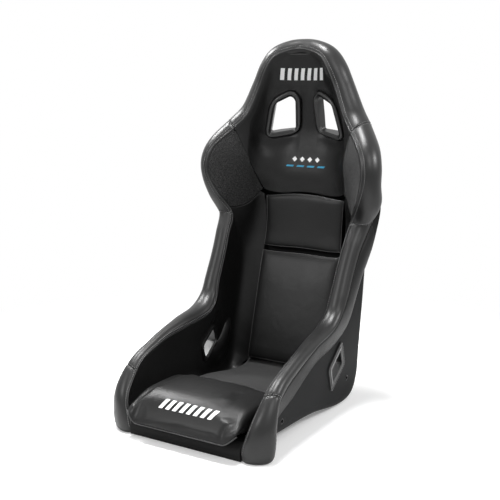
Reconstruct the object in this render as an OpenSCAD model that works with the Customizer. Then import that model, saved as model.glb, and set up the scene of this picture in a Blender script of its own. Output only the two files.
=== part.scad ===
// Bucket racing seat: one glass-fibre shell, padded and covered, with soft rolls round its
// rim, loose cushions, five harness slots and four side-mount bushes.
// Millimetres.  The sitter faces -Y, +X is the sitter's left, +Z is up.
// The shell is a loft of ribs.  Rib 0 is the front foot, rib 9 the hip, rib 14 the waist,
// rib 17 the shoulder wing, rib 19 the shoulder seam and rib 25 the crown of the head.

/* [Overall] */
// Height of the crown above the ground
seat_height = 888; // [840:1:930]
// Width across the shell walls where the side mounts are
hip_width = 384; // [360:1:410]
// Width across the rolls of the shoulder wings
shoulder_width = 502; // [470:1:540]
// Height of the waist, the narrow place between hips and wings
waist_height = 446; // [425:1:465]
// Height of the widest point of the shoulder wings
wing_height = 588; // [575:1:600]
// Height of the side rolls beside the sitter's lap
lap_height = 196; // [186:1:210]
// Where the front flange stands, behind the world's zero
front_reach = 268; // [255:1:285]
// Where the back of the shell stands
back_reach = 306; // [295:1:320]
// How far the shoulder wings come forward of the back of the shell
wing_depth = 128; // [110:1:145]

/* [Shell] */
// Thickness of the glass-fibre shell
shell_wall = 4.5; // [3.5:0.5:6]
// Height of the underside below the thighs
thigh_clearance = 38; // [32:1:50]
// Radius of the fold between floor and side wall
floor_fold = 26; // [18:1:34]

/* [Rim rolls] */
// How far the lap roll stands over the edge of the shell
lap_roll = 16; // [12:1:20]
// How far the wing roll stands over the edge of the shell
wing_roll = 31; // [25:1:36]
// How far the head roll stands over the edge of the shell
head_roll = 30; // [24:1:34]
// How deep a roll grips over the edge of the shell
roll_grip = 20; // [14:1:24]
// Thickness of the outer band at its trimmed edge
band_edge = 3; // [2:0.5:4]

/* [Padding] */
// Thickness of the side padding at the hips
side_pad = 11; // [8:1:15]
// Thickness of the chest panel where it swells below the slots
chest_pad = 31; // [22:1:36]
// Thickness of the panel round the shoulder slots
slot_pad = 9; // [6:1:12]
// Clearance left between neighbouring soft pieces
soft_gap = 0.6; // [0.4:0.1:1.2]

/* [Cushions] */
// Width of the back cushions
back_cushion_w = 232; // [214:1:246]
// Thickness of the upper back cushion
upper_cushion_t = 30; // [22:1:36]
// Thickness of the lower back cushion
lower_cushion_t = 40; // [30:1:46]
// Width of the seat pad
seat_pad_w = 276; // [250:1:290]
// Thickness of the seat pad
seat_pad_t = 38; // [30:1:44]
// Width of the thigh cushion
thigh_cushion_w = 284; // [260:1:300]
// Height of the thigh cushion's crown above the shell floor
thigh_crown = 64; // [54:1:72]
// Length of the thigh cushion from front to rear
thigh_length = 176; // [160:1:190]
// Thickness of the hip bolsters on the side pads
hip_bolster = 24; // [16:1:30]
// Thickness of the hook-and-loop strips under the cushions
hook_t = 2; // [1.5:0.5:3]

/* [Harness slots] */
// Width of the hole of a shoulder slot at its foot
shoulder_slot_w = 56; // [50:1:60]
// Height of the hole of a shoulder slot
shoulder_slot_h = 96; // [88:1:100]
// How far the centre of the shoulder slots lies below the crown
shoulder_slot_drop = 186; // [180:1:192]
// Length of the hole of a hip slot
hip_slot_l = 62; // [54:1:66]
// Width of the hole of a hip slot
hip_slot_w = 26; // [22:1:30]
// Where the hip slots stand in front of or behind zero
hip_slot_y = 80; // [74:1:86]
// Height of the centre of the hip slots
hip_slot_z = 117; // [112:1:122]
// Length of the crotch strap slot, across the seat
crotch_slot_l = 60; // [50:1:70]
// Width of the crotch strap slot
crotch_slot_w = 20; // [16:1:26]
// Width of the flange of the shoulder and hip slot frames
slot_flange = 9; // [7:0.5:11]
// Width of the flange of the crotch slot frame
crotch_flange = 5; // [4:0.5:7]

/* [Side mounts] */
// Distance between the front and rear mount holes of one side
mount_pitch = 326; // [310:1:335]
// Height of the mount holes above the ground
mount_z = 70; // [66:1:76]
// Where the front mount holes stand
mount_front = 184; // [176:1:190]
// Thread of the mount bushes
mount_thread = 8; // [6:1:10]
// Diameter of the barrel of a mount bush
bush_d = 14; // [12:0.5:16]
// Diameter of the flange of a mount bush, inside the shell
bush_flange = 24; // [20:1:28]

/* [Hidden] */
hip = hip_width / 2;
sho = shoulder_width / 2 - wing_roll;          // centre of the wing roll
top = seat_height - head_roll + 5;             // height of the crown seam
front = -front_reach;
wing_y = back_reach - wing_depth;
shoulder_slot_z = seat_height - shoulder_slot_drop;
nape = (wing_height + shoulder_slot_z) / 2;    // height of the nape, between wings and slots
gap = 0.3;
last = 23.2;                                   // last rib of the shell, below the crown

// ---- Guides: each row is [rib, values], and a smooth curve runs through the rows ----

// Middle line of the shell's outer face: y, z
SPINE = [
  [0, front, 2], [1, front, 25], [2, front + 18, thigh_clearance],
  [4, front + 90, thigh_clearance], [7, -22, thigh_clearance - 10], [9, 120, 3],
  [10, 182, 6], [11, back_reach - 92, 40], [12, back_reach - 80, 90],
  [13, back_reach - 68, 145], [14, back_reach - 42, 244], [16, back_reach - 5, 380],
  [18, back_reach, shoulder_slot_z - 182], [20, back_reach - 1, shoulder_slot_z - 42],
  [21, back_reach - 8, shoulder_slot_z + 18],
  [22, back_reach - 16, top - 88], [23, back_reach - 22, top - 52], [24, back_reach - 25, top - 3]
];

// Shape of the ribs: half width at the fold, radius of the fold, straightness of the wall
RIB = [
  [0, hip - 42, 9, 1], [1, hip - 36, 14, 1], [2, hip - 4, floor_fold, 2],
  [3, hip, floor_fold, 5], [8, hip, floor_fold, 5], [10, hip, floor_fold + 8, 5],
  [11, hip, floor_fold + 16, 5], [12, hip, floor_fold + 34, 5], [13, hip, floor_fold + 54, 4],
  [14, hip + 1, floor_fold + 94, 3], [15, hip + 3, 140, 2], [16, hip + 3, 140, 1.3],
  [17, hip - 8, 120, 1], [18, hip - 28, 100, 1], [19, hip - 51, 85, 1],
  [20, 122, 70, 1], [21, 100, 50, 1], [22, 83, 40, 1], [23, 61, 30, 1], [24, 34, 18, 1]
];

// Inner seam of the rim roll: x, y, z
SEAM_IN = [
  [0, hip - 50, front - 7, 2], [1, hip - 42, front - 7, 38], [2, hip - 30, front + 2, 80],
  [3, hip - 24, front + 28, 114], [4, hip - 21, front + 68, 150],
  [5, hip - 22, front + 116, lap_height - 28], [6, hip - 24, -100, lap_height - 14],
  [7, hip - 31, -35, lap_height - 4], [8, hip - 37, 25, lap_height + 4],
  [9, hip - 40, 62, lap_height + 16], [10, hip - 35, 94, lap_height + 42],
  [11, hip - 32, 113, 283], [12, hip - 31, 141, waist_height - 105],
  [13, hip - 28, 167, waist_height - 51], [14, hip - 23, 193, waist_height],
  [15, sho - 24, wing_y - 16, waist_height + 57], [16, sho - 7, wing_y - 33, wing_height - 40],
  [17, sho - 5, wing_y - 34, wing_height - 4], [18, sho - 19, wing_y - 21, nape - 23],
  [19, sho - 57, wing_y + 14, nape + 20], [20, 133, back_reach - 93, shoulder_slot_z + 1],
  [21, 106, back_reach - 84, top - 96], [22, 86, back_reach - 85, top - 51],
  [23, 64, back_reach - 82, top - 19], [24, 32, back_reach - 74, top - 5],
  [25, 0, back_reach - 68, top], [26, -32, back_reach - 74, top - 5]
];

// Outer seam of the rim roll: x, y, z
SEAM_OUT = [
  [0, hip + 17, front + 20, 4], [1, hip + 21, front + 22, 40], [2, hip + 20, front + 28, 84],
  [3, hip + 15, front + 46, 122], [4, hip + 11, front + 78, 143],
  [5, hip + 9, front + 123, lap_height - 35], [7, hip + 9, -35, lap_height + 4],
  [8, hip + 9, 25, lap_height + 15], [9, hip + 10, 64, lap_height + 30],
  [10, hip + 10, 92, lap_height + 53], [11, hip + 11, 116, 283], [12, hip + 11, 147, waist_height - 110],
  [13, hip + 14, 178, waist_height - 58], [14, hip + 23, 218, waist_height],
  [15, sho + 10, wing_y + 49, waist_height + 57], [16, sho + 6, wing_y + 34, wing_height - 40],
  [17, sho + 5, wing_y + 34, wing_height], [18, sho - 8, wing_y + 54, nape - 23],
  [19, sho - 42, wing_y + 88, nape + 25], [20, 148, back_reach - 22, shoulder_slot_z + 8],
  [21, 115, back_reach - 17, top - 88], [22, 95, back_reach - 16, top - 45],
  [23, 73, back_reach - 17, top - 19], [24, 38, back_reach - 17, top - 3],
  [25, 0, back_reach - 17, top + 1], [26, -38, back_reach - 17, top - 3]
];

// Rim roll: its rise over the seams, and how far out of the two seams the shell's edge lies
ROLL = [
  [0, lap_roll + 4, 0.5], [1.5, lap_roll + 4, 0.55], [3, lap_roll, 0.66], [8, lap_roll + 2, 0.7],
  [11, lap_roll + 3, 0.66], [13, lap_roll + 5, 0.6], [14, lap_roll + 9, 0.5],
  [15, wing_roll - 1, 0.5], [17, wing_roll, 0.5], [19, wing_roll + 1, 0.5],
  [22, head_roll, 0.5], [25, head_roll - 4, 0.5], [26, head_roll - 4, 0.5]
];

// Outer band: how far its trimmed edge lies below the shell's edge, and how far it swells
BAND = [
  [0, 20, 0], [1, 26, 1], [2, 34, 2], [3, 44, 2], [4, 52, 2], [5, 54, 2], [7, 42, 2], [8, 42, 2],
  [9, 47, 2], [10, 58, 3], [11, 76, 5], [12, 88, 8], [14, 98, 13], [15, 92, 12], [16, 80, 8],
  [17.5, 68, 6], [19, 54, 4], [20.5, 42, 2], [22, 38, 2], [25, 34, 2]
];

// Padding in front of the shell's middle, half width and fold radius of the lining
LINING = [
  [0, side_pad, 130, 8], [1, side_pad, 134, 12], [2, side_pad, hip - 22, floor_fold - 2],
  [3, side_pad, hip - 5 - side_pad, floor_fold - 2], [9, side_pad + 1, hip - 5 - side_pad, floor_fold],
  [11, side_pad + 2, hip - 8 - side_pad, floor_fold + 14],
  [12, side_pad + 2, hip - 10 - side_pad, floor_fold + 30],
  [13, side_pad + 3, hip - 14 - side_pad, 74], [14, side_pad + 4, hip - 18 - side_pad, 88],
  [15, side_pad + 5, hip - 24 - side_pad, 86], [16, side_pad + 5, hip - 36 - side_pad, 66],
  [17, side_pad + 6, 130, 46], [18.3, chest_pad, 110, 50], [19.2, chest_pad - 7, 106, 46],
  [20, slot_pad, 102, 44], [20.8, slot_pad, 86, 40], [22, slot_pad + 5, 66, 32],
  [23, slot_pad + 14, 46, 22], [24, slot_pad + 30, 22, 8]
];

// Seams between chest panel, wing pad and side pad: share of the wall's height
SEAM_WING = [[17.56, 0.13], [17.9, 0.3], [18.4, 0.6], [18.7, 0.8], [19, 1]];
SEAM_WAIST = [[14, 1], [15, 0.76], [16.28, 0.4], [17.56, 0.13]];

// ---- Curves ----
function unit(v) = v / max(norm(v), 1e-6);
function mix(a, b, t) = a + (b - a) * t;
function span(g, u, i = 0) = i >= len(g) - 2 || u < g[i + 1][0] ? i : span(g, u, i + 1);
function slope(g, i) = let (a = max(i - 1, 0), b = min(i + 1, len(g) - 1))
  (g[b] - g[a]) / (g[b][0] - g[a][0]);
// the smooth curve through the rows of guide g at rib u
function at(g, u) = let (i = span(g, u), h = g[i + 1][0] - g[i][0], t = (u - g[i][0]) / h)
  (2 * t ^ 3 - 3 * t ^ 2 + 1) * g[i] + (t ^ 3 - 2 * t ^ 2 + t) * h * slope(g, i)
  + (3 * t ^ 2 - 2 * t ^ 3) * g[i + 1] + (t ^ 3 - t ^ 2) * h * slope(g, i + 1);
function row(g, u) = let (p = at(g, u)) [for (i = [1:len(p) - 1]) p[i]];

// ---- Ribs of the shell ----
v_fold = 0.38;      // the floor ends and the fold begins
v_wall = 0.64;      // the fold ends and the wall begins
function edge_mid(u) = mix(row(SEAM_IN, u), row(SEAM_OUT, u), at(ROLL, u)[2]);
// a rib's frame: [spine y and z, fold x, fold radius, straightness, edge x, rise y and z, height]
function frame_of(u, off = 0, wide = 0, fold = 0, edge = undef, p = undef) =
  let (s = at(SPINE, u), b = at(RIB, u), ds = at(SPINE, u + 0.05) - at(SPINE, u - 0.05),
       n = unit([-ds[2], ds[1]]), c = [s[1], s[2]] + n * off,
       m = is_undef(edge) ? edge_mid(u) : edge, d = [m[1], m[2]] - c, h = norm(d),
       k = wide > 0 ? wide : b[1])
  [c, k, min(wide > 0 ? fold : b[2], 0.85 * k, 0.85 * h), is_undef(p) ? b[3] : p, m[0], d / h, h];
// a point of the rib at v, where 0 is the middle and 1 is the edge
function on_rib(f, v) = let (
    k = f[1], r = f[2], wall = function (h) k + (f[4] - k) * min(1, h / f[6]) ^ f[3],
    t = (v - v_fold) / (v_wall - v_fold),
    h = v <= v_fold ? 0 : v <= v_wall ? r * t * t : mix(r, f[6], (v - v_wall) / (1 - v_wall)),
    x = v <= v_fold ? (k - r) * v / v_fold
      : v <= v_wall ? (1 - t) ^ 2 * (k - r) + 2 * t * (1 - t) * k + t * t * wall(r) : wall(h))
  [x, f[0][0] + f[5][0] * h, f[0][1] + f[5][1] * h];
// v at height h over the floor, and v at half width x
function v_high(f, h) = h >= f[2] ? v_wall + (1 - v_wall) * (h - f[2]) / (f[6] - f[2])
  : v_fold + (v_wall - v_fold) * sqrt(max(h, 0) / f[2]);
function v_wide(f, x) = let (a = f[1] - f[2], q = a - 2 * f[1] + on_rib(f, v_wall)[0],
    w = f[1] - a, e = a - x)
  x <= a ? v_fold * x / a
  : v_fold + (v_wall - v_fold) * (abs(q) < 1e-3 ? -e / (2 * w) : (-w + sqrt(max(w * w - q * e, 0))) / q);

function outer(u, v) = on_rib(frame_of(u), v);
function lining_frame(u) = let (g = at(LINING, u))
  frame_of(u, g[1] + shell_wall, g[2], g[3], row(SEAM_IN, u), 2);
function lining(u, v) = on_rib(lining_frame(u), v);
// unit direction out of the shell, away from the sitter
function out_of(u, v) = let (a = max(v - 0.01, 0), b = min(v + 0.01, 1), f = frame_of(u))
  unit(cross(outer(u + 0.04, v) - outer(u - 0.04, v), on_rib(f, b) - on_rib(f, a)));
// a point d outside the shell's outer face, or -d inside it; x is 0 or more
function skin(u, v, d) = outer(u, v) + d * out_of(u, v);
function inside(u, v, d = gap) = let (p = skin(u, v, -shell_wall - d)) v == 0 ? [0, p[1], p[2]] : p;

// ---- Solids from grids of points ----
function flip(p) = [-p[0], p[1], p[2]];
// a closed solid between two grids of the same size, the first one outside
module slab(a, b) {
  n = len(a); m = len(a[0]);
  id = function (k, i, j) k * n * m + i * m + j;
  polyhedron(concat([for (r = a, p = r) p], [for (r = b, p = r) p]), concat(
    [for (i = [0:n - 2], j = [0:m - 2]) each tile(id(0, i, j), id(0, i, j + 1), id(0, i + 1, j + 1), id(0, i + 1, j),
      longer(a[i][j] - a[i + 1][j + 1], a[i][j + 1] - a[i + 1][j]))],
    [for (i = [0:n - 2], j = [0:m - 2]) each tile(id(1, i + 1, j), id(1, i + 1, j + 1), id(1, i, j + 1), id(1, i, j),
      longer(b[i + 1][j] - b[i][j + 1], b[i][j] - b[i + 1][j + 1]))],
    [for (i = [0:n - 2]) each tile(id(0, i + 1, 0), id(1, i + 1, 0), id(1, i, 0), id(0, i, 0), true)],
    [for (i = [0:n - 2]) each tile(id(0, i, m - 1), id(1, i, m - 1), id(1, i + 1, m - 1), id(0, i + 1, m - 1))],
    [for (j = [0:m - 2]) each tile(id(0, 0, j), id(1, 0, j), id(1, 0, j + 1), id(0, 0, j + 1))],
    [for (j = [0:m - 2]) each tile(id(0, n - 1, j + 1), id(1, n - 1, j + 1), id(1, n - 1, j), id(0, n - 1, j))]));
}
function longer(a, b) = norm(a) > norm(b) + 1e-4;
// two triangles, split from a to c or, turned, from b to d
function tile(a, b, c, d, turned = false) = turned ? [[a, b, d], [b, c, d]] : [[a, b, c], [a, c, d]];
// a tube through closed rings, which run clockwise seen from the first ring's side; cap lists
// the triangles that close an end
module tube(rings, cap) {
  n = len(rings); m = len(rings[0]);
  polyhedron([for (r = rings, p = r) p], concat(
    [for (i = [0:n - 2], j = [0:m - 1]) let (k = (j + 1) % m) each tile(i * m + j, (i + 1) * m + j,
      (i + 1) * m + k, i * m + k, longer(rings[i][j] - rings[i + 1][k], rings[i + 1][j] - rings[i][k]))],
    cap, [for (t = cap) [for (j = [2, 1, 0]) (n - 1) * m + t[j]]]));
}
// both hands of a row of points from the middle outwards
function both(r) = concat([for (i = [len(r) - 1:-1:1]) flip(r[i])], r);
function steps(a, b, n) = [for (i = [0:n]) mix(a, b, i / n)];

// the ribs of every piece, in four stretches that end at the cross seams
foot_ribs = [0.2, 0.4, 0.7, 1.1, 1.6, 2.1, 2.6, 3];
side_ribs = [3.8, 4.4, 5, 5.6, 6.3, 7, 7.6, 8.1, 8.5, 8.9, 9.3, 9.7, 10.2, 10.8, 11.5, 12.3, 13, 13.5];
wing_ribs = [14.35, 14.7, 15.1, 15.5, 16, 16.5, 17, 17.5, 18, 18.5];
head_ribs = [19.4, 19.8, 20.2, 20.6, 21, 21.4, 21.8, 22.15, 22.5, 22.85, last];
crown_ribs = [23.5, 24, 24.5, 25];
shell_ribs = concat([0], foot_ribs, [3.4], side_ribs, [14], wing_ribs, [19], head_ribs);

// Everything is drawn, then moved so that zero is the middle of the seat on the ground
nose = front - 24;                                    // front of the thigh cushion
sole = min([for (u = shell_ribs) outer(u, 0)[2]]);    // lowest part of the underside
module place(hand = 1) {
  translate([0, -(nose + back_reach + shell_wall / 2) / 2, -sole])
    if (hand > 0) children(); else mirror([1, 0, 0]) children();
}

// ---- Shell ----
shell_fine = [0, 0.2, 0.38, 0.41, 0.45, 0.49, 0.53, 0.58, 0.64, 0.76, 0.87, 0.95, 1];
module shell() {
  color([0.13, 0.13, 0.14]) place() difference() {
    slab([for (u = shell_ribs) both([for (v = shell_fine) skin(u, v, 0)])],
         [for (u = shell_ribs) both([for (v = shell_fine) inside(u, v, 0)])]);
    for (h = [-1, 1]) mirror([h < 0 ? 1 : 0, 0, 0]) {
      at_shoulder() slot_cut(grow(shoulder_hole, collar + gap), 70);
      at_hip() slot_cut(grow(hip_hole, collar + gap), 70);
      for (y = mount_ys) translate([hip - 40, y, mount_z]) rotate([0, 90, 0])
        cylinder(d = bush_d + 2 * gap, h = 80, $fn = 48);
    }
    at_crotch() slot_cut(grow(crotch_hole, collar + gap), 90);
  }
}

// ---- Rim rolls ----
// place on the shell at distance q from its edge, which runs on across the crown
function near_edge(u, q) = let (
    s = min(u, last), a = 90 * min(max((u - last + 0.35) / 0.7, 0), 1),
    w = u <= last ? 1 : (25 - u) / (25 - last), f = frame_of(s),
    dv = 1 - v_high(f, f[6] - min(q, 0.8 * f[6])))
  [s - (a > 0 ? sin(a) * q / 38 : 0), w * (1 - cos(a) * dv)];
function shell_out(u, q, d) = let (e = near_edge(u, q)) skin(e[0], e[1], d);
function shell_in(u, q, d) = let (e = near_edge(u, q)) inside(e[0], e[1], d);
// direction in which the roll rises from its two seams
function rise_of(u) = let (t = edge_mid(u + 0.06) - edge_mid(u - 0.06),
    s = row(SEAM_OUT, u) - row(SEAM_IN, u)) unit(cross(s, t));
// one ring of the roll: over the crest from seam to seam, then round the shell's edge
function roll_ring(u) = let (
    a = row(SEAM_IN, u), b = row(SEAM_OUT, u), m = (a + b) / 2, n = rise_of(u), h = at(ROLL, u)[1],
    foot = u < 0.6 ? mix(0.88, 1, sqrt(max(0, 1 - (1 - u / 0.6) ^ 2))) : 1,
    e = near_edge(u, 0), eo = skin(e[0], e[1], gap), ei = inside(e[0], e[1]), up = gap * n,
    arc = [for (t = [0, 30, 60, 90, 120, 150, 180]) m - cos(t) * (b - a) / 2 + sin(t) * h * n])
  concat([for (p = arc) eo + (p - eo) * foot],
    [shell_out(u, roll_grip, gap), eo + up, ei + up, shell_in(u, roll_grip, gap)]);
roll_cap = [[0, 1, 10], [1, 9, 10], [1, 2, 9], [2, 3, 9], [3, 8, 9], [3, 4, 8], [4, 5, 8], [5, 7, 8],
  [5, 6, 7]];
module rim(us) tube([for (u = us) roll_ring(u)], roll_cap);
cut = 0.008;                                          // half of a cross seam's gap, in ribs
module head_roll() {
  us = concat([19 + cut], head_ribs, crown_ribs);
  color([0.14, 0.14, 0.15]) place()
    tube(concat([for (u = us) roll_ring(u)],
      [for (i = [len(us) - 2:-1:0]) [for (p = roll_ring(us[i])) flip(p)]]), roll_cap);
}
module wing_roll() rim(concat([14 + cut], wing_ribs, [19 - cut]));
module side_roll() rim(concat([3.4 + cut], side_ribs, [14 - cut]));
module front_roll() rim(concat([0, 0.06], foot_ribs, [3.4 - cut]));

// ---- Outer bands: the cover's skirt from the roll's outer seam to its trimmed edge ----
function band_ring(u) = let (
    s = row(SEAM_OUT, u), q = at(BAND, u)[1], e = shell_out(u, q, band_edge),
    a = s + unit(e - s) * soft_gap, m = (a + e) / 2, n = unit(e - shell_out(u, q, 0)))
  [a, m + at(BAND, u)[2] * n, e, shell_out(u, q, gap),
    shell_out(u, (q + roll_grip + 1.5) / 2, gap), shell_out(u, roll_grip + 1.5, gap)];
band_cap = [[5, 0, 1], [5, 1, 4], [4, 1, 2], [4, 2, 3]];
module band(us) tube([for (u = us) band_ring(u)], band_cap);
module wing_band() band(concat([14 + cut], wing_ribs, [19 - cut]));
module side_band() band(concat([2.1, 2.6, 3, 3.4], side_ribs, [14 - cut]));
module head_band() {
  us = concat([19 + cut], head_ribs, crown_ribs);
  color([0.15, 0.15, 0.16]) place()
    tube(concat([for (u = us) band_ring(u)],
      [for (i = [len(us) - 2:-1:0]) [for (p = band_ring(us[i])) flip(p)]]), band_cap);
}

// ---- Pads that line the shell ----
// v on the lining at share q of the wall's height in rib u
function seam_v(g, u) = let (f = lining_frame(u)) v_high(f, f[6] * min(max(at(g, u)[1], 0), 1));
// the matching v on the shell, which stops short of the roll's grip
function under(u, v) = let (f = frame_of(min(u, last)),
    e = v_high(f, f[6] - min(roll_grip + 2, 0.8 * f[6])), k = min(v_fold, e)) v <= k ? v : mix(k, e, (v - k) / (1 - k));
function back_u(u) = u <= 22 ? u : mix(22, last - 0.75, (u - 22) / 2);
// a pad between v = lo(u, frame) and v = hi(u), with fine steps j from 0 to 1
function lift(u, j) = u + 0.2 * (1 - j * j) * max(0, 18.4 - u);
function pad_face(us, lo, hi, js) = [for (u = us) let (a = lo(u, lining_frame(u)), b = hi(u))
  [for (j = js) lining(a == 0 ? lift(u, j) : u, mix(a, b, j))]];
function pad_back(us, lo, hi, js) = [for (u = us) let (a = lo(u, frame_of(u)), b = under(u, hi(u)))
  [for (j = js) inside(back_u(a == 0 ? lift(u, j) : u), mix(a, b, j), gap + 0.5)]];
module pad(us, lo, hi, js) slab(pad_back(us, lo, hi, js), pad_face(us, lo, hi, js));
top_v = 0.994;
vgap = 0.004;
seam_ribs = [17.56, 17.75, 18, 18.25, 18.5, 18.7, 18.9];
// half width of the cushions that lie between the side pads
function cushion_x(u) = (u < 5.3 ? thigh_cushion_w
  : mix(seat_pad_w, back_cushion_w, min(max((u - 10.7) / 0.6, 0), 1))) / 2 + soft_gap;
module side_pad_body() pad(concat([3, 3.4], side_ribs, [14, 14.35, 14.7, 15.1, 15.5, 16, 16.5, 17, 17.4]),
  function (u, f) v_wide(f, cushion_x(u)),
  function (u) u <= 14 ? top_v : min(seam_v(SEAM_WAIST, u) - vgap, top_v), [0, 0.12, 0.26, 0.45, 0.65, 0.85, 1]);
module wing_pad_body() pad(concat([14.12, 14.35, 14.7, 15.1, 15.5, 16, 16.5, 17], seam_ribs),
  function (u, f) let (v = seam_v(u < 17.56 ? SEAM_WAIST : SEAM_WING, u) + vgap)
    f[6] == frame_of(u)[6] ? under(u, v) : v,
  function (u) top_v, [0, 0.15, 0.35, 0.55, 0.75, 0.9, 1]);
module head_panel() {
  us = concat(seam_ribs, [19], [for (u = head_ribs) if (u < 22) u], [22.3, 22.85, 23.4, 23.9]);
  hi = function (u) u < 19 ? min(seam_v(SEAM_WING, u) - vgap, top_v) : top_v;
  lo = function (u, f) 0;
  js = [0, 0.2, 0.4, 0.52, 0.64, 0.76, 0.88, 1];
  color([0.16, 0.16, 0.17]) place() difference() {
    slab([for (r = pad_back(us, lo, hi, js)) both(r)], [for (r = pad_face(us, lo, hi, js)) both(r)]);
    for (h = [-1, 1]) mirror([h < 0 ? 1 : 0, 0, 0]) at_shoulder() {
      slot_cut(grow(shoulder_hole, collar + 2 * gap), 80);
      linear_extrude(60) polygon(soften(grow(shoulder_hole, slot_flange + soft_gap), 7));
    }
  }
}
module side_pad_cut() difference() {
  side_pad_body();
  at_hip() {
    slot_cut(grow(hip_hole, collar + 2 * gap), 60);
    translate([0, 0, -60 - hip_seat]) linear_extrude(60)
      polygon(soften(grow(hip_hole, slot_flange + soft_gap), 7));
  }
  for (y = mount_ys) translate([hip - shell_wall - 12, y, mount_z]) rotate([0, 90, 0])
    cylinder(d = bush_flange + 2, h = 30, $fn = 32);
}
// bolster on the side pad beside the hips: rib, where it starts and ends over the spine, thickness
BOLSTER = [[8, 16, 46, 2], [8.4, 26, 66, hip_bolster - 10], [9, 48, 93, hip_bolster - 3],
  [9.8, 70, 114, hip_bolster], [10.4, 74, 122, hip_bolster], [11, 60, 112, hip_bolster - 2],
  [11.6, 30, 84, hip_bolster - 8], [12, 12, 56, 2]];
module hip_pad_body() {
  us = [8, 8.1, 8.5, 8.9, 9.3, 9.7, 10.2, 10.8, 11.2, 11.5, 11.8, 12];
  js = [0, 0.08, 0.26, 0.46, 0.66, 0.84, 1];
  spot = function (u, j, d) let (b = at(BOLSTER, u), f = lining_frame(u), v = v_high(f, mix(b[1], b[2], j) - side_pad),
      n = unit(cross(on_rib(f, v + 0.01) - on_rib(f, v - 0.01), lining(u + 0.05, v) - lining(u - 0.05, v))))
    on_rib(f, v) + (1 + (d ? 2 + b[3] * (j == 0 ? 0.8 : sqrt(1 - j * j)) : 0)) * n;
  slab([for (u = us) [for (j = js) spot(u, j, false)]], [for (u = us) [for (j = js) spot(u, j, true)]]);
}

// ---- Loose cushions ----
// share of full thickness at t from -1 to 1 across a cushion
function crown(t) = sqrt(max(0, 1 - abs(t) ^ 7));
across = [-1, -0.96, -0.86, -0.68, -0.4, 0, 0.4, 0.68, 0.86, 0.96, 1];
along = [-1, -0.95, -0.82, -0.55, -0.2, 0.2, 0.55, 0.82, 0.95, 1];
// the ribs fan upwards from the middle, so a level edge bows over them
bow = 0.2;
function level(u, x) = u + bow * (1 - x * x) * min(max((u - 14) / 3, 0), 1);
// a cushion on the shell from rib u0 to rib u1: width, thickness at both ends, swell
module cushion(u0, u1, w, t0, t1, swell, pinch = 3, lie = hook_t + 2 * gap) {
  spot = function (s, x) let (u = level(mix(u0, u1, (s + 1) / 2), x), f = frame_of(u),
      h = abs(x) * (w / 2 - pinch * (1 - s * s)), v = v_wide(f, h), p = inside(u, v, lie))
    [sign(x) * p[0], p[1], p[2]];
  ahead = function (u) let (k = u0 < 10 ? min(u, 9.3) : u, d = at(SPINE, k + 0.05) - at(SPINE, k - 0.05))
    unit([0, -d[2], d[1]]);
  slab([for (s = along) [for (x = across) spot(s, x)]],
    [for (s = along) let (u = mix(u0, u1, (s + 1) / 2), n = ahead(u), c = spot(s, 0),
        t = mix(t0, t1, (s + 1) / 2))
      [for (x = across) let (b = spot(s, x), r = (b - c) * n, e = crown(x) * crown(s))
        b + n * max(4 + (t - 4) * (0.7 + 0.3 * e) + swell * (1 - x * x) * (1 - s * s) - r, 4)]]);
}
module back_cushion_upper() color([0.17, 0.17, 0.18]) place()
  cushion(15.33, 17.46, back_cushion_w, upper_cushion_t, upper_cushion_t - 4, 3);
module back_cushion_lower() color([0.17, 0.17, 0.18]) place()
  cushion(11.25, 15.2, back_cushion_w, lower_cushion_t, upper_cushion_t + 2, 4);
module seat_pad() color([0.24, 0.24, 0.25]) place() difference() {
  cushion(5.35, 10.6, seat_pad_w, seat_pad_t - 4, seat_pad_t, 3, 2);
  at_crotch() slot_cut(grow(crotch_hole, crotch_flange + soft_gap), 160);
}
// outline of the thigh cushion: share of its length, share of its crown
THIGH = [[0, 0.08], [0.35, 0.04], [0.7, 0.04], [0.86, 0.06], [0.96, 0.06], [1, 0.2], [0.99, 0.42], [0.93, 0.62],
  [0.83, 0.84], [0.7, 0.97], [0.55, 1], [0.38, 0.98], [0.2, 0.92], [0.07, 0.82], [0.01, 0.66], [0, 0.4]];
module thigh_cushion() {
  floor_z = thigh_clearance + shell_wall + hook_t;
  color([0.17, 0.17, 0.18]) place() tube([for (x = -across) let (e = crown(x),
      s = mix(0.72, 1, e), k = mix(0.55, 1, e) * (1 - 0.12 * x * x))
    [for (p = THIGH) [x * thigh_cushion_w / 2, nose + thigh_length * (1 - mix(0.5, p[0], s)),
      floor_z + thigh_crown * (p[1] < 0.1 ? p[1] : mix(0.1, p[1], k))]]],
    [for (j = [1:len(THIGH) - 2]) [0, j, j + 1]]);
}
module front_skirt() color([0.12, 0.12, 0.13]) place() {
  us = [0.06, 0.4, 0.8, 1.2, 1.5];
  vs = [0, 0.12, 0.24, 0.34, 0.38, 0.41];
  slab([for (u = us) both([for (v = vs) inside(u, v)])],
    [for (u = us) both([for (v = vs) inside(u, v, gap + 8)])]);
}
module hook_strips() color([0.1, 0.1, 0.1]) place()
  for (s = [[11.5, 12.3, 80], [14, 14.7, 80], [16, 16.5, 80], [7, 7.6, 90], [9.3, 9.7, 90], [3.8, 4.4, 90]]) {
    us = [s[0], s[1]];
    row_at = function (u, d) [for (x = steps(-1, 1, 6)) let (p = inside(u, v_wide(frame_of(u), abs(x) * s[2]), d))
      [sign(x) * p[0], p[1], p[2]]];
    slab([for (u = us) row_at(u, gap)], [for (u = us) row_at(u, gap + hook_t)]);
  }

// ---- Harness slots ----
collar = 2.5;                                         // wall of a slot frame's collar
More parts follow.
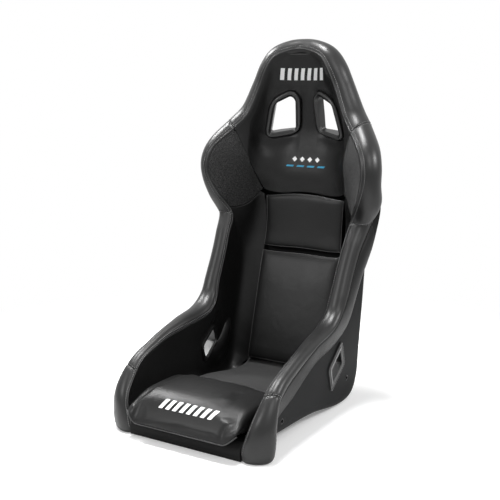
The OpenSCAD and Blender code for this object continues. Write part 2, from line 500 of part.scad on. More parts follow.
// an outline moved outwards by d, and an outline with its corners rounded
function grow(p, d) = let (n = len(p)) [for (i = [0:n - 1])
  let (a = p[(i + n - 1) % n], b = p[i], c = p[(i + 1) % n],
       m = unit([b[1] - a[1], a[0] - b[0]]), k = unit([c[1] - b[1], b[0] - c[0]]))
  b + d * (m + k) / (1 + m * k)];
function soften(p, r) = let (n = len(p)) [for (i = [0:n - 1])
  let (b = p[i], a = b + unit(p[(i + n - 1) % n] - b) * r, c = b + unit(p[(i + 1) % n] - b) * r)
  for (t = [0:0.25:1]) (1 - t) ^ 2 * a + 2 * t * (1 - t) * b + t * t * c];
sw = shoulder_slot_w;
sh = shoulder_slot_h;
shoulder_hole = [[-0.48 * sw, -0.5 * sh], [0.74 * sw, -0.63 * sh], [0.46 * sw, 0.2 * sh],
  [-0.27 * sw, 0.41 * sh], [-0.48 * sw, 0.3 * sh]];
hip_hole = [[-hip_slot_l / 2, -hip_slot_w / 2], [hip_slot_l / 3, -hip_slot_w / 2],
  [hip_slot_l / 2, hip_slot_w / 2], [-hip_slot_l / 3, hip_slot_w / 2]];
crotch_hole = [[-crotch_slot_l / 2, -crotch_slot_w / 2], [crotch_slot_l / 2, -crotch_slot_w / 2],
  [crotch_slot_l / 2, crotch_slot_w / 2], [-crotch_slot_l / 2, crotch_slot_w / 2]];
module slot_cut(p, h) translate([0, 0, -h / 2]) linear_extrude(h) polygon(soften(p, 5));
// a slot's own frame: its hole is drawn flat, and +Z is towards the sitter, or outwards at the hips
shoulder_face = back_reach - 33;                      // where the shoulder frames' faces lie
module at_shoulder() translate([58, shoulder_face, shoulder_slot_z + 8]) rotate([101, 0, -20.5]) children();
hip_seat = 19;                                        // from the hip frames' face to the shell's outside
module at_hip() translate([hip, hip_slot_y, hip_slot_z]) rotate([90, 0, 90]) rotate([0, 0, 37]) children();
crotch_u = 5.92;
module at_crotch() {
  d = at(SPINE, crotch_u + 0.05) - at(SPINE, crotch_u - 0.05);
  translate(outer(crotch_u, 0)) rotate([atan2(d[2], d[1]), 0, 0]) children();
}
// a moulded frame: flange with a stepped edge, and the collar through the hole
module slot_frame(p, deep, wide = slot_flange, thick = 3.5) {
  linear_extrude(thick - 1.2) difference() {
    polygon(soften(grow(p, wide), 7));
    polygon(soften(p, 5));
  }
  translate([0, 0, thick - 1.2]) linear_extrude(1.2) difference() {
    polygon(soften(grow(p, wide - 1.6), 6));
    polygon(soften(grow(p, 1), 5));
  }
  translate([0, 0, -deep]) linear_extrude(deep) difference() {
    polygon(soften(grow(p, collar), 6));
    polygon(soften(p, 5));
  }
}
module slot_ring(p, thick = ring_t, wide = slot_flange) linear_extrude(thick) difference() {
  polygon(soften(grow(p, wide), 7));
  polygon(soften(grow(p, collar + gap), 6));
}
mount_ys = [-mount_front, -mount_front + mount_pitch];
shoulder_deep = 60;                                   // cut off behind the shell
ring_t = 2.5;                                         // thickness of the rings outside the shell
// a layer on the back of the shell round the shoulder slot, from d0 to d1 off it
module back_layer(d0, d1) {
  us = [18.6, 19.3, 20, 20.7, 21.4, 22.1, 22.8];
  vs = [0, 0.2, 0.38, 0.44, 0.5, 0.57, 0.64, 0.8];
  slab([for (u = us) [for (v = vs) skin(u, v, d1)]], [for (u = us) [for (v = vs) skin(u, v, d0)]]);
}
module shoulder_frame() difference() {
  at_shoulder() slot_frame(shoulder_hole, shoulder_deep);
  back_layer(gap + ring_t, 60);
}
module shoulder_ring() intersection() {
  at_shoulder() translate([0, 0, -70]) slot_ring(shoulder_hole, 70);
  back_layer(gap, gap + ring_t);
}
module hip_frame() at_hip() mirror([0, 0, 1]) translate([0, 0, hip_seat]) slot_frame(hip_hole, hip_seat + 3);
module hip_ring() at_hip() translate([0, 0, gap]) slot_ring(hip_hole);
module crotch_frame() color([0.1, 0.1, 0.11]) place() at_crotch()
  translate([0, 0, shell_wall + gap]) slot_frame(crotch_hole, shell_wall + gap + ring_t, crotch_flange);
module crotch_ring() color([0.1, 0.1, 0.11]) place() at_crotch()
  translate([0, 0, -gap]) mirror([0, 0, 1]) slot_ring(crotch_hole, ring_t, crotch_flange);

// ---- Side-mount bushes: a threaded barrel through the wall with a flange inside ----
module bush(i) translate([hip, mount_ys[i], mount_z]) rotate([0, 90, 0]) difference() {
  union() {
    translate([0, 0, -shell_wall - gap - 2.5]) cylinder(d = bush_flange, h = 2.5, $fn = 48);
    translate([0, 0, -shell_wall - gap - 2.5]) cylinder(d = bush_d, h = shell_wall + gap + 3, $fn = 48);
  }
  translate([0, 0, -30]) cylinder(d = mount_thread, h = 60, $fn = 32);
}

vinyl = [0.14, 0.14, 0.15];
cloth = [0.2, 0.2, 0.21];
plastic = [0.1, 0.1, 0.11];
steel = [0.3, 0.3, 0.31];
module hand(side, c) color(c) place(side) children();

shell();
head_panel();
hand(1, cloth) wing_pad_body();  // wing_pad_left
hand(-1, cloth) wing_pad_body();  // wing_pad_right
hand(1, cloth) side_pad_cut();  // side_pad_left
hand(-1, cloth) side_pad_cut();  // side_pad_right
hand(1, cloth) hip_pad_body();  // hip_pad_left
hand(-1, cloth) hip_pad_body();  // hip_pad_right
back_cushion_upper();
back_cushion_lower();
seat_pad();
thigh_cushion();
front_skirt();
head_roll();
hand(1, vinyl) wing_roll();  // wing_roll_left
hand(-1, vinyl) wing_roll();  // wing_roll_right
hand(1, vinyl) side_roll();  // side_roll_left
hand(-1, vinyl) side_roll();  // side_roll_right
hand(1, vinyl) front_roll();  // front_roll_left
hand(-1, vinyl) front_roll();  // front_roll_right
head_band();
hand(1, vinyl) wing_band();  // wing_band_left
hand(-1, vinyl) wing_band();  // wing_band_right
hand(1, vinyl) side_band();  // side_band_left
hand(-1, vinyl) side_band();  // side_band_right
hand(1, plastic) shoulder_frame();  // shoulder_frame_left
hand(-1, plastic) shoulder_frame();  // shoulder_frame_right
hand(1, plastic) shoulder_ring();  // shoulder_ring_left
hand(-1, plastic) shoulder_ring();  // shoulder_ring_right
hand(1, plastic) hip_frame();  // hip_frame_left
hand(-1, plastic) hip_frame();  // hip_frame_right
hand(1, plastic) hip_ring();  // hip_ring_left
hand(-1, plastic) hip_ring();  // hip_ring_right
crotch_frame();
crotch_ring();
hook_strips();
hand(1, steel) bush(0);  // mount_bush_front_left
hand(1, steel) bush(1);  // mount_bush_rear_left
hand(-1, steel) bush(0);  // mount_bush_front_right
hand(-1, steel) bush(1);  // mount_bush_rear_right
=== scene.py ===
"""Looks of a bucket racing seat: shell, padding, rim rolls, cushions, slot frames and stitching.
The sitter faces -Y, +X is the sitter's left. Sizes are millimetres until a mesh is made."""

import math

import bmesh
import bpy
import numpy as np
from mathutils import Matrix, Vector
from mathutils.bvhtree import BVHTree


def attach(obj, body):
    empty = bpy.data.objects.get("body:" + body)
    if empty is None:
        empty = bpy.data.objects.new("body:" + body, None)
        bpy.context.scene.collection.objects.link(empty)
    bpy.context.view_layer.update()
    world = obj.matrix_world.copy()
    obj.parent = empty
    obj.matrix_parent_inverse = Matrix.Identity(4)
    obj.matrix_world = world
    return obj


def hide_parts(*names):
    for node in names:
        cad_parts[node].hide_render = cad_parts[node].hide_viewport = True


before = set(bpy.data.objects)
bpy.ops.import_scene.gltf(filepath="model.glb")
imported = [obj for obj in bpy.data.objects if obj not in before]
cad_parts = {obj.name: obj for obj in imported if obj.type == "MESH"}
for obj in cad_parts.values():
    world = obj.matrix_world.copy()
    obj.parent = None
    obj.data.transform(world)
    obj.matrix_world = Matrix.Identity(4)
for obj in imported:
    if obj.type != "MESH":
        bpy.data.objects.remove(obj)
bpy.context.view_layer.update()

# ---- Camera, floor and light ----
# A studio: the seat stands on a white floor in a white room, seen from its left front, with
# soft lamps over it and to both sides. Past a metre or so the floor fades into the room.
MM = 0.001


def placed(name, data):
    """A new object of the scene, for a mesh, a lamp or a camera."""
    made = bpy.data.objects.new(name, data)
    bpy.context.collection.objects.link(made)
    return made


aim = Vector((0, -0.0081, 0.3936))
turn, rise, away = math.radians(31.2), math.radians(11.3), 2.095
focal_px, frame_px, sensor = 885, 500, 36
camera = placed("camera", bpy.data.cameras.new("camera"))
camera.data.lens, camera.data.sensor_width = focal_px / frame_px * sensor, sensor
camera.location = aim + away * Vector((math.sin(turn) * math.cos(rise),
                                       -math.cos(turn) * math.cos(rise), math.sin(rise)))
camera.rotation_euler = (aim - camera.location).to_track_quat("-Z", "Y").to_euler()
bpy.context.scene.camera = camera
bpy.context.scene.view_settings.view_transform = "Standard"


class Wire:
    """A value on its way through a material's nodes, so that shader maths reads as sums."""

    def __init__(self, tree, socket=None):
        self.tree, self.socket = tree, socket

    def node(self, kind, sockets=None, out=0, **settings):
        """A new node: its settings first, then the values or wires of its sockets."""
        made = self.tree.nodes.new(kind)
        for key, value in settings.items():
            setattr(made, key, value)
        for key, value in (sockets or {}).items():
            if isinstance(value, Wire):
                self.tree.links.new(value.socket, made.inputs[key])
            else:
                made.inputs[key].default_value = value
        return Wire(self.tree, made.outputs[out])

    def other(self, label):
        """Another output of the node that this value leaves."""
        return Wire(self.tree, self.socket.node.outputs[label])

    def into(self, shader, label):
        """Drives a socket of the shader."""
        self.tree.links.new(self.socket, shader.inputs[label])

    def math(self, how, a, b=0.0, c=0.0):
        return self.node("ShaderNodeMath", {0: a, 1: b, 2: c}, operation=how)

    def __add__(self, other): return self.math("ADD", self, other)
    def __sub__(self, other): return self.math("SUBTRACT", self, other)
    def __mul__(self, other): return self.math("MULTIPLY", self, other)
    def __rsub__(self, other): return self.math("SUBTRACT", other, self)
    __radd__, __rmul__ = __add__, __mul__

    def limited(self): return self.math("MINIMUM", self.math("MAXIMUM", self, 0.0), 1.0)
    def wave(self): return self.math("SINE", self)
    def bigger(self, other): return self.math("MAXIMUM", self, other)

    def between(self, a, b):
        """The colour a where this value is 0 and b where it is 1."""
        return self.node("ShaderNodeMix", {0: self, 6: a, 7: b}, out=2, data_type="RGBA")


def new_finish(name):
    """An empty material, a wire to build it with, and its shader."""
    material = bpy.data.materials.new(name)
    material.use_nodes = True
    tree = material.node_tree
    return material, Wire(tree), tree.nodes["Principled BSDF"]


def grey(level, tint=0.0):
    """A grey, a little bluish with a tint."""
    return (level * (1 - tint), level, level * (1 + tint), 1)


def in_view(wire):
    """1 for the camera and for what gloss and glass show, 0 for the light that falls on things."""
    camera_ray, glossy, through = (wire.node("ShaderNodeLightPath", out=f"Is {kind} Ray")
                                   for kind in ("Camera", "Glossy", "Transmission"))
    return camera_ray.bigger(glossy).bigger(through)


fade_from, fade_to, floor_radius, floor_white = 0.45, 1.25, 9, 0.88
floor_finish, wire, shader = new_finish("studio_floor")
place = wire.node("ShaderNodeTexCoord", out="Object")
distance = wire.node("ShaderNodeVectorMath", {0: place}, out="Value", operation="LENGTH")
far = wire.node("ShaderNodeMapRange", {0: distance, 1: fade_from, 2: fade_to},
                interpolation_type="SMOOTHERSTEP")
far.between(grey(floor_white), grey(0)).into(shader, "Base Color")
(in_view(wire) * (far * 0.78 + 0.22)).between(grey(0), grey(1)).into(shader, "Emission Color")
shader.inputs["Emission Strength"].default_value = 1
shader.inputs["Roughness"].default_value = 1
shader.inputs["Specular IOR Level"].default_value = 0
floor_mesh = bpy.data.meshes.new("floor")
shape = bmesh.new()
bmesh.ops.create_circle(shape, cap_ends=True, radius=floor_radius, segments=64)
shape.to_mesh(floor_mesh)
shape.free()
floor_mesh.materials.append(floor_finish)
placed("floor", floor_mesh)

world = bpy.data.worlds.new("white_room")
bpy.context.scene.world = world
world.use_nodes = True
room = world.node_tree.nodes["Background"]
room.inputs["Color"].default_value = (1, 1, 1, 1)
(in_view(Wire(world.node_tree)) * 0.8 + 0.2).into(room, "Strength")

for name, place, size, power in (("lamp_over", (-0.15, 0, 2.7), 0.7, 90),
                                 ("lamp_key", (-1.1, -2.2, 1.7), 0.9, 26),
                                 ("lamp_fill", (1.7, -1.3, 2.1), 1.2, 21),
                                 ("lamp_rim_right", (1.8, 0.45, 1.5), 0.45, 24),
                                 ("lamp_rim_left", (-1.5, 0.3, 1.9), 0.6, 40)):
    lamp = placed(name, bpy.data.lights.new(name, "AREA"))
    lamp.data.shape, lamp.data.size, lamp.data.energy = "DISK", size, power
    lamp.location = place
    lamp.rotation_euler = (aim - lamp.location).to_track_quat("-Z", "Y").to_euler()

# ---- Shell ----
# One moulding of glass fibre in matt black gelcoat, 4.5 mm thick, laid up in a female mould.
# Ribs run across it: rib 0 is the front foot, 9 the hip, 14 the waist, 17 the shoulder wing,
# 19 the shoulder seam and 25 the crown. A guide is a table of [rib, values] with a smooth curve.
wall = 4.5
seat_height, hip, waist_height, wing_height = 888, 192, 446, 588
lap_height, front, back_reach = 196, -268, 306
wing_roll_rise, head_roll_rise, lap_roll_rise = 31, 30, 16
shoulder_x = 251 - wing_roll_rise
top = seat_height - head_roll_rise + 5
wing_y = back_reach - 128
floor_z, fold = 38, 26

# the middle line: y and z
SPINE = [[0, front, 2], [1, front, 25], [2, front + 18, floor_z], [4, front + 90, floor_z],
         [7, -22, floor_z - 10], [9, 120, 3], [10, 182, 6], [11, back_reach - 92, 40],
         [12, back_reach - 80, 90], [13, back_reach - 68, 145], [14, back_reach - 42, 244],
         [16, back_reach - 5, 380], [18, back_reach, 520], [20, back_reach - 1, 660],
         [21, back_reach - 8, 720], [22, back_reach - 16, top - 88],
         [23, back_reach - 22, top - 52], [24, back_reach - 25, top - 3]]
# the rib's half width, the radius of its fold, and how late its wall leans to the rim
RIB = [[0, hip - 42, 9, 1], [1, hip - 36, 14, 1], [2, hip - 4, fold, 2], [3, hip, fold, 5],
       [8, hip, fold, 5], [10, hip, fold + 8, 5], [11, hip, fold + 16, 5], [12, hip, fold + 34, 5],
       [13, hip, fold + 54, 4], [14, hip + 1, fold + 94, 3], [15, hip + 3, 140, 2],
       [16, hip + 3, 140, 1.3], [17, hip - 8, 120, 1], [18, hip - 28, 100, 1],
       [19, hip - 51, 85, 1], [20, 122, 70, 1], [21, 100, 50, 1], [22, 83, 40, 1],
       [23, 61, 30, 1], [24, 34, 18, 1]]
# the roll's inner and outer seams: x, y and z
SEAM_IN = [[0, hip - 50, front - 7, 2], [1, hip - 42, front - 7, 38], [2, hip - 30, front + 2, 80],
           [3, hip - 24, front + 28, 114], [4, hip - 21, front + 68, 150],
           [5, hip - 22, front + 116, lap_height - 28], [6, hip - 24, -100, lap_height - 14],
           [7, hip - 31, -35, lap_height - 4], [8, hip - 37, 25, lap_height + 4],
           [9, hip - 40, 62, lap_height + 16], [10, hip - 35, 94, lap_height + 42],
           [11, hip - 32, 113, 283], [12, hip - 31, 141, waist_height - 105],
           [13, hip - 28, 167, waist_height - 51], [14, hip - 23, 193, waist_height],
           [15, shoulder_x - 24, wing_y - 16, waist_height + 57],
           [16, shoulder_x - 7, wing_y - 33, wing_height - 40],
           [17, shoulder_x - 5, wing_y - 34, wing_height - 4],
           [18, shoulder_x - 19, wing_y - 21, wing_height + 34],
           [19, shoulder_x - 57, wing_y + 14, wing_height + 77], [20, 133, 213, wing_height + 115],
           [21, 106, 222, top - 96], [22, 86, 221, top - 51], [23, 64, 224, top - 19],
           [24, 32, 232, top - 5], [25, 0, 238, top], [26, -32, 232, top - 5]]
SEAM_OUT = [[0, hip + 17, front + 20, 4], [1, hip + 21, front + 22, 40], [2, hip + 20, front + 28, 84],
            [3, hip + 15, front + 46, 122], [4, hip + 11, front + 78, 143],
            [5, hip + 9, front + 123, lap_height - 35], [7, hip + 9, -35, lap_height + 4],
            [8, hip + 9, 25, lap_height + 15], [9, hip + 10, 64, lap_height + 30],
            [10, hip + 10, 92, lap_height + 53], [11, hip + 11, 116, 283],
            [12, hip + 11, 147, waist_height - 110], [13, hip + 14, 178, waist_height - 58],
            [14, hip + 23, 218, waist_height], [15, shoulder_x + 10, wing_y + 49, waist_height + 57],
            [16, shoulder_x + 6, wing_y + 34, wing_height - 40],
            [17, shoulder_x + 5, wing_y + 34, wing_height],
            [18, shoulder_x - 8, wing_y + 54, wing_height + 34],
            [19, shoulder_x - 42, wing_y + 88, wing_height + 82],
            [20, 148, back_reach - 22, wing_height + 122], [21, 115, back_reach - 17, top - 88],
            [22, 95, back_reach - 16, top - 45], [23, 73, back_reach - 17, top - 19],
            [24, 38, back_reach - 17, top - 3], [25, 0, back_reach - 17, top + 1],
            [26, -38, back_reach - 17, top - 3]]
# how high the roll's crest stands, and where the shell's edge lies between its seams
ROLL = [[0, lap_roll_rise + 4, 0.5], [1.5, lap_roll_rise + 4, 0.55], [3, lap_roll_rise, 0.66],
        [8, lap_roll_rise + 2, 0.7], [11, lap_roll_rise + 3, 0.66], [13, lap_roll_rise + 5, 0.6],
        [14, lap_roll_rise + 9, 0.5], [15, wing_roll_rise - 1, 0.5], [17, wing_roll_rise, 0.5],
        [19, wing_roll_rise + 1, 0.5], [22, head_roll_rise, 0.5], [25, head_roll_rise - 4, 0.5],
        [26, head_roll_rise - 4, 0.5]]
v_fold, v_wall = 0.38, 0.64
last_rib, crown_rib = 23.2, 25
front_seam, waist_seam, shoulder_seam = 3.4, 14, 19


def unit(a):
    return a / np.maximum(np.linalg.norm(a, axis=-1, keepdims=True), 1e-6)


def guide(rows, u):
    """The smooth curve through the rows of a guide at ribs u."""
    g = np.array(rows, float)
    a, b = np.maximum(np.arange(len(g)) - 1, 0), np.minimum(np.arange(len(g)) + 1, len(g) - 1)
    slope = (g[b] - g[a]) / (g[b, :1] - g[a, :1])
    u = np.asarray(u, float)
    i = np.clip(np.searchsorted(g[:, 0], u, side="right") - 1, 0, len(g) - 2)
    h = (g[i + 1, 0] - g[i, 0])[..., None]
    t = (u[..., None] - g[i, :1]) / h
    curve = ((2 * t ** 3 - 3 * t ** 2 + 1) * g[i] + (t ** 3 - 2 * t ** 2 + t) * h * slope[i]
             + (3 * t ** 2 - 2 * t ** 3) * g[i + 1] + (t ** 3 - t ** 2) * h * slope[i + 1])
    return curve[..., 1:]


def mix(a, b, t):
    """What lies between a and b at share t."""
    return a + (b - a) * t


def edge_mid(u):
    """Where the shell's edge lies at rib u, between the roll's two seams."""
    return mix(guide(SEAM_IN, u), guide(SEAM_OUT, u), guide(ROLL, u)[..., 1:])


def frame_of(u, off=0.0, wide=None, turn_r=None, edge=None, straight=None):
    """A rib's frame: middle, half width, fold radius, straightness, edge x, rise, height."""
    u = np.asarray(u, float)
    b = guide(RIB, u)
    ds = guide(SPINE, u + 0.05) - guide(SPINE, u - 0.05)
    n = unit(np.stack([-ds[..., 1], ds[..., 0]], -1))
    c = guide(SPINE, u) + n * np.asarray(off)[..., None]
    m = edge_mid(u) if edge is None else edge
    d = m[..., 1:] - c
    h = np.linalg.norm(d, axis=-1)
    k = b[..., 0] if wide is None else wide
    r = np.minimum(b[..., 1] if turn_r is None else turn_r, np.minimum(0.85 * k, 0.85 * h))
    return c, k, r, b[..., 2] if straight is None else straight, m[..., 0], d / h[..., None], h


def on_rib(f, v):
    """A point of the rib at v, where 0 is the middle and 1 is the edge."""
    c, k, r, p, ex, d, height = f
    t = (v - v_fold) / (v_wall - v_fold)
    straight = mix(r, height, (v - v_wall) / (1 - v_wall))
    h = np.where(v <= v_fold, 0, np.where(v <= v_wall, r * t * t, straight))
    side = lambda h: k + (ex - k) * np.minimum(1, h / height) ** p
    bend = (1 - t) ** 2 * (k - r) + 2 * t * (1 - t) * k + t * t * side(r)
    x = np.where(v <= v_fold, (k - r) * v / v_fold, np.where(v <= v_wall, bend, side(h)))
    return np.stack([x, c[..., 0] + d[..., 0] * h, c[..., 1] + d[..., 1] * h], -1)


def v_high(f, h):
    """The v of the point at height h on a rib."""
    r, height = f[2], f[6]
    return np.where(h >= r, v_wall + (1 - v_wall) * (h - r) / (height - r),
                    v_fold + (v_wall - v_fold) * np.sqrt(np.maximum(h, 0) / r))


def v_wide(f, x):
    """The v of the point at width x on a rib."""
    a = f[1] - f[2]
    q, w, e = a - 2 * f[1] + on_rib(f, np.full(np.shape(a), v_wall))[..., 0], f[1] - a, a - x
    bend = np.where(np.abs(q) < 1e-3, -e / (2 * w),
                    (-w + np.sqrt(np.maximum(w * w - q * e, 0))) / np.where(np.abs(q) < 1e-3, 1, q))
    return np.where(x <= a, v_fold * x / a, v_fold + (v_wall - v_fold) * bend)


def outer(u, v):
    """A point of the shell's outer face."""
    return on_rib(frame_of(u), v)


def out_of(u, v):
    """The direction straight out of the shell's outer face."""
    f = frame_of(u)
    return unit(np.cross(outer(u + 0.04, v) - outer(u - 0.04, v),
                         on_rib(f, np.minimum(v + 0.01, 1)) - on_rib(f, np.maximum(v - 0.01, 0))))


def skin(u, v, d):
    """A point d outside the shell's outer face, or -d inside it."""
    u, v = np.broadcast_arrays(np.asarray(u, float), np.asarray(v, float))
    return outer(u, v) + np.asarray(d)[..., None] * out_of(u, v)


def inside(u, v, d=0.3):
    """A point d clear of the shell's inner face."""
    p = skin(u, v, -wall - np.asarray(d))
    p[..., 0] = np.where(np.broadcast_to(v, p.shape[:-1]) == 0, 0, p[..., 0])
    return p


def both(p):
    """Both hands of rows of points from the middle outwards."""
    return np.concatenate([p[:, :0:-1] * [-1, 1, 1], p], axis=1)


def eased(n, crowd=0.8):
    """n + 1 steps from 0 to 1, crowded towards both ends."""
    t = np.linspace(0, 1, n + 1)
    return t - crowd * np.sin(2 * np.pi * t) / (2 * np.pi)


sole = outer(np.linspace(0, last_rib, 400), np.zeros(400))[:, 2].min()
SHIFT = np.array([0, -(front - 24 + back_reach + wall / 2) / 2, -sole])


def piece(name, points, faces, uv=None, finish=None, mirror=False, smooth=True):
    """A mesh object from points in millimetres, with cloth coordinates in metres if given."""
    co = (np.asarray(points, float).reshape(-1, 3) + SHIFT) * MM
    if mirror:
        co = co * [-1, 1, 1]
    mesh = bpy.data.meshes.new(name)
    mesh.from_pydata(co.tolist(), [], [list(f) for f in faces])
    if uv is not None:
        layer = mesh.uv_layers.new(name="cloth")
        index = np.zeros(len(mesh.loops), np.int32)
        mesh.loops.foreach_get("vertex_index", index)
        layer.data.foreach_set("uv", (np.asarray(uv).reshape(-1, 2)[index] * MM).astype(np.float32).ravel())
    shape = bmesh.new()
    shape.from_mesh(mesh)
    bmesh.ops.remove_doubles(shape, verts=shape.verts, dist=2e-6)
    bmesh.ops.recalc_face_normals(shape, faces=shape.faces)
    for face in shape.faces:
        face.smooth = smooth
    shape.to_mesh(mesh)
    shape.free()
    if finish:
        mesh.materials.append(finish)
    return placed(name, mesh)


def lengths(p):
    """How far along each row, and each column, every point of a grid lies."""
    across = np.cumsum(np.pad(np.linalg.norm(np.diff(p, axis=1), axis=2), ((0, 0), (1, 0))), axis=1)
    along = np.cumsum(np.pad(np.linalg.norm(np.diff(p, axis=0), axis=2), ((1, 0), (0, 0))), axis=0)
    return across, along


def slab(name, face, back, finish, mirror=False):
    """A closed solid between two grids of the same size."""
    n, m = face.shape[:2]
    ids = np.arange(2 * n * m).reshape(2, n, m)
    quad = lambda k: np.stack([k[:-1, :-1], k[:-1, 1:], k[1:, 1:], k[1:, :-1]], -1).reshape(-1, 4)
    faces = [quad(ids[0]), quad(ids[1])[:, ::-1]]
    for rim in (ids[:, 0], ids[:, -1], ids[:, :, 0], ids[:, :, -1]):
        faces.append(quad(rim))
    across, along = lengths(face)
    uv = np.stack([across - across[:, m // 2:m // 2 + 1], along], -1)
    return piece(name, np.stack([face, back]), np.concatenate(faces), np.stack([uv, uv]), finish, mirror)


def tube(name, rings, finish, mirror=False):
    """A closed solid through closed rings."""
    n, m = rings.shape[:2]
    ids = np.arange(n * m).reshape(n, m)
    nxt = np.roll(ids, -1, axis=1)
    faces = np.stack([ids[:-1], nxt[:-1], nxt[1:], ids[1:]], -1).reshape(-1, 4).tolist()
    across, along = lengths(rings)
    return piece(name, rings, faces + [ids[0].tolist(), ids[-1].tolist()[::-1]],
                 np.stack([across, along], -1), finish, mirror)


def settled(made, angle=35):
    """Applies a piece's modifiers and leaves a plain mesh, sharp only over an angle."""
    mesh = bpy.data.meshes.new_from_object(made.evaluated_get(bpy.context.evaluated_depsgraph_get()))
    made.modifiers.clear()
    made.data = mesh
    mesh.shade_smooth()
    mesh.set_sharp_from_angle(angle=math.radians(angle))
    return made


def grow(p, d):
    """An outline moved outwards by d."""
    p = np.array(p, float)
    a, c = np.roll(p, 1, 0), np.roll(p, -1, 0)
    side = lambda e: unit(np.stack([e[:, 1], -e[:, 0]], -1))
    m, k = side(p - a), side(c - p)
    return p + d * (m + k) / (1 + (m * k).sum(1, keepdims=True))


def soften(p, r, n=8):
    """An outline with its corners rounded, each within its own two sides."""
    p = np.array(p, float)
    before, after = np.roll(p, 1, 0) - p, np.roll(p, -1, 0) - p
    shorter = np.minimum(np.linalg.norm(before, axis=1), np.linalg.norm(after, axis=1))
    r = np.minimum(r, 0.48 * shorter)[:, None]
    a, c = p + unit(before) * r, p + unit(after) * r
    t = np.linspace(0, 1, n + 1)[None, :, None]
    return ((1 - t) ** 2 * a[:, None] + 2 * t * (1 - t) * p[:, None] + t * t * c[:, None]).reshape(-1, 2)


sw, sh = 56, 96
shoulder_hole = [[-0.48 * sw, -0.5 * sh], [0.74 * sw, -0.63 * sh], [0.46 * sw, 0.2 * sh],
                 [-0.27 * sw, 0.41 * sh], [-0.48 * sw, 0.3 * sh]]
hip_hole = [[-31, -13], [62 / 3, -13], [31, 13], [-62 / 3, 13]]
crotch_hole = [[-30, -10], [30, -10], [30, 10], [-30, 10]]
turned = lambda degrees, axis: Matrix.Rotation(math.radians(degrees), 4, axis)
at_shoulder = Matrix.Translation((58, back_reach - 33, 710)) @ turned(-20.5, "Z") @ turned(101, "X")
at_hip = Matrix.Translation((hip, 80, 117)) @ turned(90, "Z") @ turned(90, "X") @ turned(37, "Z")
crotch_rib, hip_seat = 5.92, 19
slope = guide(SPINE, 5.97) - guide(SPINE, 5.87)
at_crotch = (Matrix.Translation(outer(np.array(crotch_rib), np.array(0.0)).tolist())
             @ Matrix.Rotation(math.atan2(slope[1], slope[0]), 4, "X"))


def prism(name, outline, z0, z1, spot, mirror=False):
    """A prism over an outline, in a slot's own frame."""
    n = len(outline)
    turn, shift = np.array(spot.to_3x3()), np.array(spot.translation)
    points = np.array([[x, y, z] for z in (z0, z1) for x, y in outline]) @ turn.T + shift
    faces = [[i, (i + 1) % n, n + (i + 1) % n, n + i] for i in range(n)]
    return piece(name, points, faces + [list(range(n))[::-1], list(range(n, 2 * n))], mirror=mirror)


def bored(made, cutters):
    """Cuts prisms out of a piece."""
    for cutter in cutters:
        cut = made.modifiers.new("cut", "BOOLEAN")
        cut.object, cut.solver = cutter, "EXACT"
    settled(made)
    for cutter in cutters:
        bpy.data.objects.remove(cutter)
    return made


def mottled(name, dark, light, scale, detail, rough, spread, relief=None):
    """A finish whose colour and roughness vary in soft patches, over a fine relief if given."""
    material, wire, shader = new_finish(name)
    place = wire.node("ShaderNodeTexCoord", out="Object")
    patch = wire.node("ShaderNodeTexNoise", {"Vector": place, "Scale": scale, "Detail": detail})
    patch.between(dark, light).into(shader, "Base Color")
    (patch * spread + rough).into(shader, "Roughness")
    if relief:
        fine_scale, fine_detail, strength, height = relief
        fine = wire.node("ShaderNodeTexNoise", {"Vector": place, "Scale": fine_scale, "Detail": fine_detail})
        bump = {"Height": fine, "Strength": strength, "Distance": height}
        wire.node("ShaderNodeBump", bump, out="Normal").into(shader, "Normal")
    return material, shader


def fixed(made, slot_name, *nodes):
    """A finished piece of the seat, which stands for CAD nodes if any are named."""
    if nodes:
        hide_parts(*nodes)
    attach(made, "root")
    return made


# a matt coat that the mould has left a little wavy
gelcoat, shader = mottled("black_gelcoat", grey(0.005, 0.03), grey(0.009, 0.03), 9, 3, 0.46, 0.12,
                          (420, 2, 0.12, 0.0004))
shader.inputs["Specular IOR Level"].default_value = 0.05

us = np.concatenate([np.linspace(0, 3, 40), np.linspace(3.06, last_rib, 250)])
vs = np.concatenate([np.linspace(0, v_fold, 12)[:-1], np.linspace(v_fold, v_wall, 16)[:-1],
                     np.linspace(v_wall, 1, 22)])
U, V = np.meshgrid(us, vs, indexing="ij")
shell = slab("shell_moulding", both(skin(U, V, 0.0)), both(inside(U, V, 0.0)), gelcoat)
bush_r, bush_y, bush_z = 7.3, (-184, 142), 70
circle = [[bush_r * math.cos(a), bush_r * math.sin(a)] for a in np.linspace(0, 2 * np.pi, 48, endpoint=False)]
cutters = []
for mirror in (False, True):
    cutters.append(prism("cut", soften(grow(shoulder_hole, 2.8), 5), -35, 35, at_shoulder, mirror))
    cutters.append(prism("cut", soften(grow(hip_hole, 4.2), 6), -35, 35, at_hip, mirror))
    for y in bush_y:
        at_bush = Matrix.Translation((hip, y, bush_z)) @ turned(90, "Y")
        cutters.append(prism("cut", circle, -40, 40, at_bush, mirror))
cutters.append(prism("cut", soften(grow(crotch_hole, 2.8), 5), -45, 45, at_crotch))
fixed(bored(shell, cutters), "shell", "shell")

# ---- Side-mount bushes ----
# Four blackened steel bushes through the side walls, each with a flange inside the shell and an
# M8 thread, which take the bolts of the side brackets.


